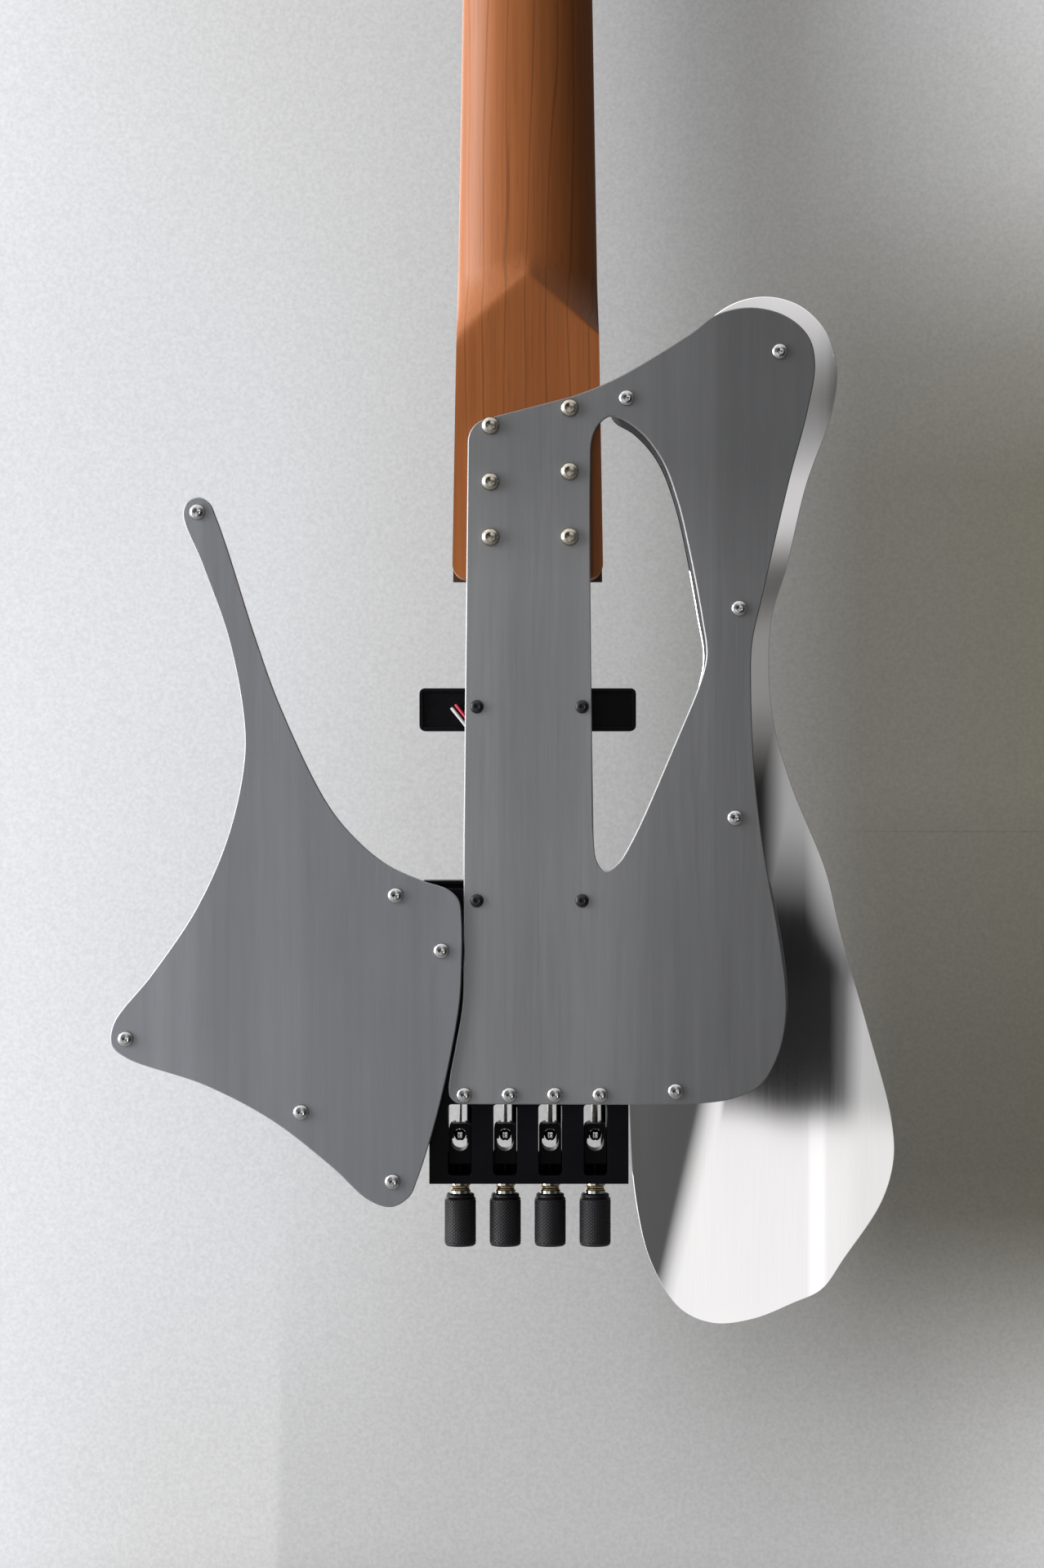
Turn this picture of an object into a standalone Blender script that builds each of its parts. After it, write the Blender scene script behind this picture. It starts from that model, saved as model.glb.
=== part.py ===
"""Headless four-string electric bass guitar with a body of sheet aluminium.

+Z runs up the neck and +Y points out of the strings' side, so a viewer who looks along +Y sees the back.
The origin is on the flat top end of the headpiece, midway across it and level with the glue line between
the neck and the fingerboard. Lengths are in millimetres, and the helpers turn them into metres. Places on the body are
given as (x, height), where height is measured up from the saddle line.
"""

import math

import bmesh
import bpy
import numpy as np

METRES = 0.001

# Strings and fingerboard
SCALE_LENGTH = 864.0
BOARD_END = 207.0
ROOM_PAST_LAST_FRET = 6.0
NUT_WIDTH = 41.0
BOARD_END_WIDTH = 63.4
BOARD_THICKNESS = 6.1
BOARD_RADIUS = 305.0
FRET_HEIGHT = 1.0
FRET_WIDTH = 2.4
STRING_NAMES = ("g", "d", "a", "e")
STRING_RADII = {"g": 0.57, "d": 0.83, "a": 1.08, "e": 1.33}
NUT_PITCH = 10.0
BRIDGE_PITCH = 19.0
STRING_LIFT_AT_NUT = 0.4
STRING_LIFT_AT_SADDLE = 3.9

# Neck
HEADPIECE_LENGTH = 32.0
HEADPIECE_WIDTH = 43.0
HEADPIECE_FRONT = 14.0
HEADPIECE_BACK = 9.0
STRING_BORE_RADIUS = 2.1
STRING_BORE_DEPTH = 24.0
CLAMP_HOLE_RADIUS = 2.2
CLAMP_HOLE_FROM_NUT = 14.0
TONGUE_SHORT_OF_TOP = 6.0
NECK_DEPTH_AT_NUT = 14.8
NECK_DEPTH_AT_HEEL = 16.6
NECK_EDGE = 1.8
NECK_ROUNDNESS = 1.9
HEEL_DEPTH = 19.2
HEEL_FLAT_LENGTH = 103.0
HEEL_PEAK_RISE = 26.0
CARVE_AT_MIDDLE = 10.0
CARVE_AT_EDGE = 26.0
CARVE_CURVE = 1.6
HEEL_CORNER_RADIUS = 6.0
ROD_WIDTH = 6.0
ROD_DEPTH = 8.9
ROD_FROM_NUT = 10.0

# Body plates
PLATE_THICKNESS = 3.0
WING_PLATE_THICKNESS = 3.0
WING_FRONT_THICKNESS = 2.5
BRACKET_THICKNESS = 3.0
SHEET_THICKNESS = 2.0
BODY_DEPTH = 25.0
WING_DEPTH = 24.3
WING_FRONT_INSET = 2.4
SEAT_GAP = 0.3
GLUE_LINE = 0.15

# Bends of the front sheet
ROLL_FOOT = (69.8, -17.7)
ROLL_LEAN = 0.214
ROLL_WIDTH = 14.0
ROLL_SLOPE = 0.09
FOLD_X = 116.5
FOLD_WIDTH = 16.0
FOLD_SLOPE = 0.20

# Fasteners
BUTTON_RADIUS = 3.25
BUTTON_HEIGHT = 1.9
NECK_BUTTON_RADIUS = 3.8
NECK_BUTTON_HEIGHT = 3.2
BLACK_BUTTON_RADIUS = 2.8
BLACK_BUTTON_HEIGHT = 1.7
M3_RADIUS = 1.5
M5_RADIUS = 2.5
NECK_SCREW_DEPTH = 13.0
STANDOFF_RADIUS = 3.5
SPACER_RADIUS = 4.5
BRIDGE_SCREW_DEPTH = 9.0
HOLE_CLEARANCE = 0.35

# Pickups
PICKUP_LENGTH = 91.4
PICKUP_WIDTH = 18.0
PICKUP_DEPTH = 17.0
PICKUP_CORNER = 2.2
PICKUP_RIM = 1.6
PICKUP_POCKET = 1.5
PICKUP_BACK = -11.5
PICKUP_HEIGHTS = {"neck": 152.4, "bridge": 71.2}
PICKUP_SCREW_SPREAD = 22.0
PICKUP_SCREW_SHIFT = (0.7, 0.9)
PICKUP_SCREW_BITE = 4.0

# Bridge
BLOCK_X = 0.5
BLOCK_WIDTH = 83.6
BLOCK_TOP = -5.8
BLOCK_BOTTOM = -46.8
BLOCK_FRONT = 5.5
SHELF_TOP = 17.0
SHELF_FRONT = 1.5
END_WALL = 3.5
CUT_REACH = 30.0
CHANNEL_WIDTH = 10.0
CHANNEL_CORNER = 1.6
SLOT_TOP = -13.4
SLOT_BOTTOM = -36.5
GROOVE_FLOOR = -1.0
BRIDGE_SCREW_OFFSET = 1.8
BRIDGE_SCREW_HEIGHT = -9.2
TAIL_SLOPE = 0.553
TAIL_LENGTH = 26.2
SADDLE_WIDTH = 14.0
SADDLE_BEHIND = 4.5
SADDLE_AHEAD = 9.5
SADDLE_SHOULDER = 6.0
SADDLE_CREST = (0.9, 2.4)
INTONATION_OFFSET = 3.7
INTONATION_Y = 3.0
INTONATION_BORE = 1.35

# String carriages and tuner knobs
CARRIAGE_LENGTH = 17.0
CARRIAGE_BACK = -14.0
CARRIAGE_FRONT = 0.0
CARRIAGE_TOP = -22.0
CARRIAGE_CORNER = 2.5
BALL_HOLE_WIDTH = 7.0
BALL_HOLE_LENGTH = 5.3
BALL_HOLE_CORNERS = (0.6, 3.3)
BALL_HOLE_DROP = 6.2
BALL_SEAT_RADIUS = 2.8
BALL_SEAT_FRONT = -1.9
BALL_SEAT_RISE = 1.3
STRING_SLOT_WIDTH = 3.8
STRING_SLOT_DEPTH = 6.0
TUNER_Y = -6.5
PULL_ROD_RADIUS = 2.0
PULL_ROD_LENGTH = 20.0
ROD_CLEARANCE = 0.4
COLLAR_RADIUS = 4.25
COLLAR_LENGTH = 5.1
KNOB_RADIUS = 6.75
KNOB_LENGTH = 22.0
KNOB_STEP = 1.4
KNOB_STEP_RADIUS = 5.9
KNOB_CHAMFER = 0.6
KNOB_FLOOR = 5.0

# Controls on the left wing
VOLUME_PLACE = (-80.0, 46.0)
TONE_PLACE = (-88.0, 12.0)
JACK_PLACE = (-137.0, 17.0)
POT_RADIUS = 8.2
POT_DEPTH = 9.5
BUSHING_RADIUS = 3.6
BUSHING_NUT_RADIUS = 5.5
BUSHING_NUT_HEIGHT = 2.2
SHAFT_RADIUS = 3.0
CONTROL_KNOB_RADIUS = 9.0
CONTROL_KNOB_HEIGHT = 14.0
JACK_SOCKET_RADIUS = 3.3
JACK_BODY_RADIUS = 5.6
JACK_LENGTH = 20.0
JACK_FLANGE_RADIUS = 7.5
JACK_FLANGE_HEIGHT = 2.2
WIRE_RADIUS = 0.75
LEAD_SPACING = 2.2

# Screws, as places on the body
NECK_SCREWS = ((-15.7, 271.0), (17.4, 278.4), (-15.7, 247.5), (17.4, 251.8), (-15.7, 224.3), (17.4, 224.5))
BODY_STANDOFFS = ((41.3, 282.5), (105.4, 302.0), (88.4, 194.5), (86.7, 106.8), (61.8, -7.6))
WING_STANDOFFS = ((-138.0, 234.5), (-167.9, 14.5), (-94.7, -16.1), (-56.5, -45.1))
BRACKET_STANDOFF = (-55.2, 74.4)
BRACKET_SCREW = (-36.1, 51.3)

# Outlines, as places on the body. A third value is the radius of a corner, and the rest is smooth.
BACK_PLATE = (
    (-25.0, 272.0, 10.0), (17.5, 283.0), (31.0, 288.0), (43.0, 294.0), (68.0, 309.5), (79.0, 317.5),
    (93.5, 320.5), (108.0, 317.0), (117.5, 308.5), (120.3, 297.0), (117.0, 276.5), (109.5, 248.0),
    (98.0, 198.5), (94.0, 180.0), (93.5, 160.0), (95.0, 125.0), (98.5, 95.0), (105.3, 56.5),
    (108.0, 36.0), (108.0, 22.0), (105.0, 8.0), (97.5, -5.0), (86.5, -10.5), (75.0, -12.5),
    (43.0, -13.3), (-33.2, -13.0, 5.5), (-33.0, -5.0), (-30.0, 12.0), (-27.3, 28.0), (-26.8, 50.0),
    (-26.8, 100.0),
)
TEARDROP = (
    (35.0, 275.0), (30.0, 271.8), (27.0, 265.5), (26.3, 252.0), (26.2, 211.0), (27.0, 135.0),
    (27.5, 100.0), (29.0, 88.5), (32.5, 84.5), (37.5, 87.5), (44.0, 98.0), (62.5, 140.0),
    (72.5, 164.5), (74.8, 175.0), (73.0, 190.0), (67.3, 220.0), (62.5, 240.0), (56.0, 257.0),
    (46.0, 269.5),
)
WING_HORN = (
    (-144.0, 233.5), (-142.0, 239.0), (-137.4, 240.8), (-133.0, 238.5), (-130.0, 232.0),
    (-125.5, 219.3), (-113.9, 182.5), (-103.3, 153.2), (-84.0, 113.3), (-72.3, 98.6), (-58.7, 87.3),
)
WING_JOINT_EDGE = (
    (-43.7, 80.5), (-33.5, 77.0), (-28.8, 72.5), (-27.6, 64.5), (-27.6, 45.0), (-28.8, 27.0),
    (-37.0, -14.0), (-46.0, -44.0),
)
WING_FRONT_EDGE = ((-46.5, 82.0, 3.0), (-46.5, -42.0))
WING_OUTSIDE = (
    (-49.5, -51.5), (-57.0, -55.7), (-66.5, -52.8), (-82.0, -38.8), (-107.0, -19.4), (-135.0, -4.7),
    (-167.5, 6.5), (-173.8, 12.0), (-173.0, 21.0), (-157.0, 41.6), (-138.5, 69.0), (-125.0, 100.0),
    (-118.4, 132.0), (-119.0, 151.0), (-125.2, 182.5), (-136.0, 212.8),
)
FRONT_SHEET = (
    (36.5, 287.0), (52.0, 296.5), (68.0, 309.5), (79.0, 320.5), (90.0, 327.0), (103.0, 329.0),
    (116.5, 325.0), (127.0, 314.5), (132.0, 299.0), (130.0, 280.0), (119.0, 248.5), (110.5, 213.0),
    (104.5, 193.0), (103.0, 172.0), (105.0, 148.0), (112.5, 121.0), (127.0, 84.5), (133.0, 59.0),
    (145.0, 15.5), (154.0, -20.0), (155.0, -38.0), (150.0, -56.0), (134.5, -80.5), (125.0, -94.0),
    (113.0, -100.0), (96.0, -107.0), (79.0, -109.0), (65.0, -103.0), (52.5, -83.0), (46.0, -56.0),
    (43.5, -20.0), (44.0, 20.0), (48.0, 55.0), (49.0, 88.0), (58.0, 122.0), (72.5, 161.0),
    (75.0, 175.0), (72.5, 192.0), (63.0, 239.0), (55.0, 259.0), (45.5, 270.0), (37.0, 275.5),
    (34.5, 280.5),
)
BRACKET = (
    (-62.0, 60.0), (-61.5, 75.0), (-55.2, 81.5), (-47.0, 79.5), (-40.0, 77.0), (38.0, 77.0, 3.0),
    (38.0, -5.5, 3.0), (-44.0, -5.5, 3.0), (-50.0, 20.0),
)

# Levels, from the neck's heel out to the two plates
PLATE_FRONT = -HEEL_DEPTH - SEAT_GAP
PLATE_BACK = PLATE_FRONT - PLATE_THICKNESS
WING_FRONT_OF_BACK = PLATE_BACK - SEAT_GAP
WING_BACK = WING_FRONT_OF_BACK - WING_PLATE_THICKNESS
WING_FRONT_BACK = WING_FRONT_OF_BACK + WING_DEPTH
WING_FRONT = WING_FRONT_BACK + WING_FRONT_THICKNESS
BRACKET_BACK = PLATE_FRONT + SEAT_GAP
BRACKET_FRONT = BRACKET_BACK + BRACKET_THICKNESS
SHEET_BACK = PLATE_FRONT + BODY_DEPTH
BLOCK_BACK = PLATE_FRONT + SEAT_GAP
BOARD_TOP = GLUE_LINE + BOARD_THICKNESS

# Heights along the neck, from the saddle line
NUT_HEIGHT = SCALE_LENGTH
TOP_HEIGHT = SCALE_LENGTH + HEADPIECE_LENGTH
FRETS = int(12 * math.log2(SCALE_LENGTH / (BOARD_END + ROOM_PAST_LAST_FRET)))

STRING_X = {name: (i - 1.5) * BRIDGE_PITCH for i, name in enumerate(STRING_NAMES)}
NUT_X = {name: (i - 1.5) * NUT_PITCH for i, name in enumerate(STRING_NAMES)}
STRING_FLOOR_AT_NUT = BOARD_TOP + FRET_HEIGHT + STRING_LIFT_AT_NUT
STRING_FLOOR_AT_SADDLE = BOARD_TOP + FRET_HEIGHT + STRING_LIFT_AT_SADDLE

FINISHES = {
    "brushed_aluminium": ((0.42, 0.43, 0.45), 0.42, 1.0),
    "polished_aluminium": ((0.78, 0.77, 0.77), 0.18, 1.0),
    "roasted_maple": ((0.42, 0.18, 0.07), 0.45, 0.0),
    "dark_rosewood": ((0.05, 0.03, 0.025), 0.5, 0.0),
    "black_anodised": ((0.015, 0.015, 0.018), 0.4, 0.6),
    "black_plastic": ((0.012, 0.012, 0.014), 0.35, 0.0),
    "chrome": ((0.75, 0.75, 0.76), 0.12, 1.0),
    "nickel": ((0.62, 0.58, 0.5), 0.2, 1.0),
    "black_steel": ((0.03, 0.03, 0.035), 0.35, 0.8),
    "string_steel": ((0.6, 0.59, 0.57), 0.3, 1.0),
    "red_wire": ((0.55, 0.02, 0.06), 0.4, 0.0),
    "white_wire": ((0.8, 0.8, 0.8), 0.4, 0.0),
}


def clear_scene():
    for old in list(bpy.data.objects):
        bpy.data.objects.remove(old, do_unlink=True)


def new_collection(name):
    collection = bpy.data.collections.new(name)
    bpy.context.scene.collection.children.link(collection)
    return collection


def new_material(name, colour, roughness, metallic):
    material = bpy.data.materials.new(name)
    material.use_nodes = True
    shader = material.node_tree.nodes["Principled BSDF"]
    shader.inputs["Base Color"].default_value = (*colour, 1.0)
    shader.inputs["Roughness"].default_value = roughness
    shader.inputs["Metallic"].default_value = metallic
    return material


def z_at(height):
    """Z of a place on the body, given by its height above the saddle line."""
    return height - TOP_HEIGHT


def link(name, data, finish, collection=None):
    made = bpy.data.objects.new(name, data)
    (collection or PARTS).objects.link(made)
    if finish:
        data.materials.append(MATERIALS[finish])
    return made


def as_mesh(curve_object):
    """The curve object made a mesh object, with its caps welded on."""
    graph = bpy.context.evaluated_depsgraph_get()
    mesh = bpy.data.meshes.new_from_object(curve_object.evaluated_get(graph))
    shape = bmesh.new()
    shape.from_mesh(mesh)
    bmesh.ops.remove_doubles(shape, verts=shape.verts, dist=1e-6)
    shape.to_mesh(mesh)
    shape.free()
    name, place = curve_object.name, curve_object.matrix_world.copy()
    collection = curve_object.users_collection[0]
    bpy.data.objects.remove(curve_object, do_unlink=True)
    made = bpy.data.objects.new(name, mesh)
    made.matrix_world = place
    collection.objects.link(made)
    return made


def cut(target, cutter, operation="DIFFERENCE"):
    cutter.hide_render = True
    cutter.display_type = "WIRE"
    modifier = target.modifiers.new(cutter.name, "BOOLEAN")
    modifier.operation = operation
    modifier.solver = "EXACT"
    modifier.object = cutter


def box(name, low, high, finish=None, collection=None, bevel=0.0):
    """A box between two corners, in millimetres."""
    shape = bmesh.new()
    bmesh.ops.create_cube(shape, size=1.0)
    low, high = np.array(low), np.array(high)
    for vert in shape.verts:
        vert.co = (low + (np.array(vert.co) + 0.5) * (high - low)) * METRES
    mesh = bpy.data.meshes.new(name)
    shape.to_mesh(mesh)
    shape.free()
    made = link(name, mesh, finish, collection)
    if bevel:
        rounding = made.modifiers.new("edges", "BEVEL")
        rounding.width = bevel * METRES
        rounding.segments = 1
    return made


def rod(name, start, direction, length, radius, sides=12, collection=None):
    """A cylinder from a point along Y or Z, used as a cutter or joined to a piece."""
    shape = bmesh.new()
    bmesh.ops.create_cone(
        shape, cap_ends=True, segments=sides, radius1=radius * METRES, radius2=radius * METRES,
        depth=length * METRES,
    )
    mesh = bpy.data.meshes.new(name)
    shape.to_mesh(mesh)
    shape.free()
    made = link(name, mesh, None, collection or CUTTERS)
    x, y, z = start
    if direction == "Y":
        made.rotation_euler.x = -math.pi / 2
        y += length / 2
    else:
        z += length / 2
    made.location = (x * METRES, y * METRES, z * METRES)
    return made


def turned(name, profile, finish, place, direction="Z", steps=12):
    """A turned piece. The profile holds (radius, distance along the axis), down its outer side."""
    mesh = bpy.data.meshes.new(name)
    ring = profile[0] == profile[-1]
    points = [(r * METRES, 0.0, z * METRES) for r, z in (profile[:-1] if ring else profile)]
    edges = [(i, (i + 1) % len(points)) for i in range(len(points) - (not ring))]
    mesh.from_pydata(points, edges, [])
    made = link(name, mesh, finish)
    screw = made.modifiers.new("turn", "SCREW")
    screw.axis = "Z"
    screw.steps = screw.render_steps = steps
    screw.use_merge_vertices = True
    screw.merge_threshold = 1e-6
    screw.use_smooth_shade = False
    if direction == "Y":
        made.rotation_euler.x = -math.pi / 2
    made.location = [value * METRES for value in place]
    return made


def corner_arc(before, corner, after, radius, steps=5):
    """Points of the arc that rounds a corner between two straight runs."""
    to_before = (before - corner) / np.linalg.norm(before - corner)
    to_after = (after - corner) / np.linalg.norm(after - corner)
    half = math.acos(np.clip(to_before @ to_after, -1.0, 1.0)) / 2
    middle = to_before + to_after
    centre = corner + middle / np.linalg.norm(middle) * radius / math.sin(half)
    start = corner + to_before * radius / math.tan(half) - centre
    end = corner + to_after * radius / math.tan(half) - centre
    sweep = math.pi - 2 * half
    shares = np.linspace(0.0, 1.0, steps)
    return [
        centre + (start * math.sin((1 - t) * sweep) + end * math.sin(t * sweep)) / math.sin(sweep)
        for t in shares
    ]


def smooth_run(before, start, end, after, steps):
    """Points between start and end on a centripetal spline, without start and end themselves."""
    knots = np.cumsum([0.0] + [
        math.sqrt(np.linalg.norm(b - a)) for a, b in ((before, start), (start, end), (end, after))
    ])

    def blend(p, q, low, high, t):
        return ((high - t) * p + (t - low) * q) / (high - low)

    found = []
    for t in np.linspace(knots[1], knots[2], steps + 1)[1:-1]:
        a = blend(before, start, knots[0], knots[1], t)
        b = blend(start, end, knots[1], knots[2], t)
        c = blend(end, after, knots[2], knots[3], t)
        found.append(blend(blend(a, b, knots[0], knots[2], t), blend(b, c, knots[1], knots[3], t),
                           knots[1], knots[2], t))
    return found


def outline(places, steps=3, inset=0.0):
    """A closed outline through the places: rounded at those with a radius, and smooth through the rest."""
    points = [np.array(place[:2], float) for place in places]
    radii = [place[2] if len(place) > 2 else 0.0 for place in places]
    count = len(points)
    found = []
    for i in range(count):
        after = (i + 1) % count
        if radii[i]:
            found += corner_arc(points[i - 1], points[i], points[after], radii[i])
            continue
        found.append(points[i])
        if not radii[after]:
            found += smooth_run(points[i - 1], points[i], points[after], points[(i + 2) % count], steps)
    found = np.array(found)
    if inset:
        along = np.roll(found, -1, axis=0) - np.roll(found, 1, axis=0)
        along /= np.linalg.norm(along, axis=1, keepdims=True)
        found += np.stack([along[:, 1], -along[:, 0]], axis=1) * inset
    return found


def circle(place, radius, sides=10):
    turns = np.arange(sides) * 2 * math.pi / sides
    return np.stack([place[0] + radius * np.cos(turns), place[1] + radius * np.sin(turns)], axis=1)


def flat_curve(name, loops, thickness, finish=None, collection=None):
    """A flat piece in the XZ plane, from outlines in (x, height), half its thickness either side of Y = 0."""
    curve = bpy.data.curves.new(name, "CURVE")
    curve.dimensions = "2D"
    curve.fill_mode = "BOTH"
    curve.extrude = thickness / 2 * METRES
    for loop in loops:
        spline = curve.splines.new("POLY")
        spline.points.add(len(loop) - 1)
        for point, (x, height) in zip(spline.points, loop):
            point.co = (x * METRES, z_at(height) * METRES, 0.0, 1.0)
        spline.use_cyclic_u = True
    made = link(name, curve, finish, collection)
    made.rotation_euler.x = math.pi / 2
    return made


def plate(name, loops, back, thickness, finish):
    made = flat_curve(name, loops, thickness, finish)
    made.location.y = (back + thickness / 2) * METRES
    return made


def lofted(name, rings, finish):
    """A closed solid through rings of equally many points, with flat ends. Points are in millimetres."""
    shape = bmesh.new()
    rows = [[shape.verts.new(np.array(point) * METRES) for point in ring] for ring in rings]
    for low, high in zip(rows, rows[1:]):
        for i in range(len(low)):
            j = (i + 1) % len(low)
            shape.faces.new((low[i], low[j], high[j], high[i]))
    shape.faces.new(rows[0][::-1])
    shape.faces.new(rows[-1])
    bmesh.ops.recalc_face_normals(shape, faces=shape.faces)
    mesh = bpy.data.meshes.new(name)
    shape.to_mesh(mesh)
    shape.free()
    return link(name, mesh, finish)


def tube(name, points, radius, finish, sides=6):
    curve = bpy.data.curves.new(name, "CURVE")
    curve.dimensions = "3D"
    curve.bevel_depth = radius * METRES
    curve.bevel_resolution = sides // 2 - 2
    curve.use_fill_caps = True
    spline = curve.splines.new("POLY")
    spline.points.add(len(points) - 1)
    for point, place in zip(spline.points, points):
        point.co = (*(np.array(place) * METRES), 1.0)
    return link(name, curve, finish)


def button(radius, height, outward):
    """Profile of a domed screw head from its tip to its seat at 0, or from its seat to its tip."""
    dome = [(0.0, height), (radius * 0.62, height * 0.86), (radius, height * 0.3), (radius, 0.0)]
    return dome if outward else [(r, -z) for r, z in dome[::-1]]


def stacked(name, place, stages, finish, front_head=None, back_head=None):
    """A fastener along Y at a place, from (front, back, radius) stages, with a domed head at either end."""
    profile = []
    front = stages[0][0]
    if front_head:
        profile += [(r, front + z) for r, z in button(*front_head, outward=True)]
    else:
        profile.append((0.0, front))
    for high, low, radius in stages:
        profile += [(radius, high), (radius, low)]
    back = stages[-1][1]
    if back_head:
        profile += [(r, back + z) for r, z in button(*back_head, outward=False)]
    else:
        profile.append((0.0, back))
    return turned(name, profile, finish, (place[0], 0.0, z_at(place[1])), direction="Y", steps=10)


def board_width(height):
    """Width of the neck and fingerboard, which grows evenly from the nut to the end of the board."""
    share = (NUT_HEIGHT - height) / (NUT_HEIGHT - BOARD_END)
    return NUT_WIDTH + (BOARD_END_WIDTH - NUT_WIDTH) * min(max(share, 0.0), 1.0)


def neck_depth(share_across, height):
    """Depth of the wood behind the glue line, at a share of the half width, from -1 to 1."""
    off_middle = abs(share_across)
    heel_top = BOARD_END + HEEL_FLAT_LENGTH
    share = min(max((NUT_HEIGHT - height) / (NUT_HEIGHT - heel_top), 0.0), 1.0)
    deepest = NECK_DEPTH_AT_NUT + (NECK_DEPTH_AT_HEEL - NECK_DEPTH_AT_NUT) * share
    falloff = max(1 - off_middle ** NECK_ROUNDNESS, 0.0) ** (1 / NECK_ROUNDNESS)
    rounded = NECK_EDGE + (deepest - NECK_EDGE) * falloff
    length = CARVE_AT_MIDDLE + (CARVE_AT_EDGE - CARVE_AT_MIDDLE) * off_middle
    above_heel = height - heel_top - HEEL_PEAK_RISE * (1 - off_middle)
    carved = min(max(1 - above_heel / length, 0.0), 1.0) ** CARVE_CURVE
    return rounded + (HEEL_DEPTH - rounded) * carved


def neck_ring(height, narrowing=0.0):
    half = board_width(height) / 2 - narrowing
    across = np.sin(np.linspace(-math.pi / 2, math.pi / 2, 13))
    back = [(half * u, -neck_depth(u, height), z_at(height)) for u in across]
    return [(-half, 0.0, z_at(height)), *back, (half, 0.0, z_at(height))]


def make_neck():
    heel_end = BOARD_END + SEAT_GAP
    peak = BOARD_END + HEEL_FLAT_LENGTH + HEEL_PEAK_RISE
    straight = np.linspace(TOP_HEIGHT - TONGUE_SHORT_OF_TOP, peak + CARVE_AT_MIDDLE, 5)
    carved = [peak + CARVE_AT_MIDDLE / 2, *(peak - HEEL_PEAK_RISE * np.sin(np.linspace(0.0, math.pi / 2, 7)))]
    rings = [neck_ring(height) for height in [*straight, *carved]]
    for turn in np.radians((0.0, 30.0, 60.0, 90.0)):
        drop = HEEL_CORNER_RADIUS * (1 - math.sin(turn))
        rings.append(neck_ring(heel_end + drop, HEEL_CORNER_RADIUS * (1 - math.cos(turn))))
    neck = lofted("neck", rings, "roasted_maple")
    headroom = HEADPIECE_BACK + SEAT_GAP
    cut(neck, box("headpiece_seat_cutter", (-HEADPIECE_WIDTH, -headroom, z_at(NUT_HEIGHT) - SEAT_GAP),
                  (HEADPIECE_WIDTH, headroom, 1.0), collection=CUTTERS))
    half = ROD_WIDTH / 2 + SEAT_GAP
    cut(neck, box("truss_rod_cutter", (-half, -ROD_DEPTH - 2 * SEAT_GAP, z_at(BOARD_END) - 1.0),
                  (half, 1.0, z_at(NUT_HEIGHT - ROD_FROM_NUT)), collection=CUTTERS))
    for i, (x, height) in enumerate(NECK_SCREWS, 1):
        cut(neck, rod(f"neck_screw_cutter_{i}", (x, -HEEL_DEPTH - 1.0, z_at(height)), "Y",
                      NECK_SCREW_DEPTH + 1.0 + SEAT_GAP, M5_RADIUS + HOLE_CLEARANCE, sides=10))
    box("truss_rod", (-ROD_WIDTH / 2, -ROD_DEPTH - SEAT_GAP, z_at(BOARD_END) + 2.0),
        (ROD_WIDTH / 2, -SEAT_GAP, z_at(NUT_HEIGHT - ROD_FROM_NUT) - SEAT_GAP), "string_steel", bevel=0.5)


def board_ring(height, lift):
    half = board_width(height) / 2
    across = np.linspace(-1.0, 1.0, 5) * half
    top = [(x, BOARD_TOP + lift - x * x / (2 * BOARD_RADIUS), z_at(height)) for x in across]
    return [(half, GLUE_LINE, z_at(height)), (-half, GLUE_LINE, z_at(height)), *top]


def make_fingerboard():
    """The board with its frets as low ridges, each at the equal-tempered distance from the saddle."""
    rings = [board_ring(NUT_HEIGHT, 0.0)]
    for fret in range(1, FRETS + 1):
        height = SCALE_LENGTH * 2 ** (-fret / 12)
        for offset, lift in ((0.5, 0.0), (0.3, FRET_HEIGHT), (-0.3, FRET_HEIGHT), (-0.5, 0.0)):
            rings.append(board_ring(height + offset * FRET_WIDTH, lift))
    rings.append(board_ring(BOARD_END, 0.0))
    lofted("fingerboard", rings, "dark_rosewood")


def make_headpiece():
    nut = z_at(NUT_HEIGHT)
    half = HEADPIECE_WIDTH / 2
    headpiece = box("headpiece", (-half, -HEADPIECE_BACK, nut), (half, HEADPIECE_FRONT, 0.0),
                    "black_anodised", bevel=1.0)
    for name in STRING_NAMES:
        x = NUT_X[name]
        level = STRING_FLOOR_AT_NUT + STRING_RADII[name]
        cut(headpiece, rod(f"string_bore_{name}", (x, level, nut - 1.0), "Z", STRING_BORE_DEPTH + 1.0,
                           STRING_BORE_RADIUS, sides=10))
        cut(headpiece, rod(f"clamp_hole_{name}", (x, level, nut + CLAMP_HOLE_FROM_NUT), "Y",
                           HEADPIECE_FRONT, CLAMP_HOLE_RADIUS, sides=10))


def make_strings():
    for name in STRING_NAMES:
        radius, near, far = STRING_RADII[name], STRING_X[name], NUT_X[name]
        nut = np.array((far, STRING_FLOOR_AT_NUT + radius, z_at(NUT_HEIGHT)))
        saddle = np.array((near, STRING_FLOOR_AT_SADDLE + radius, z_at(0.0)))
        inside = nut + (0.0, 0.0, STRING_BORE_DEPTH - 2.0)
        tail = saddle + (0.0, -TAIL_SLOPE * TAIL_LENGTH, -TAIL_LENGTH)
        towards_nut = (nut - saddle) / np.linalg.norm(nut - saddle)
        towards_tail = (tail - saddle) / np.linalg.norm(tail - saddle)
        bend = [saddle + towards_nut * 1.5, saddle + towards_tail * 1.5]
        tube(f"string_{name}", [inside, nut, *bend, tail], radius, "string_steel", sides=8)


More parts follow.
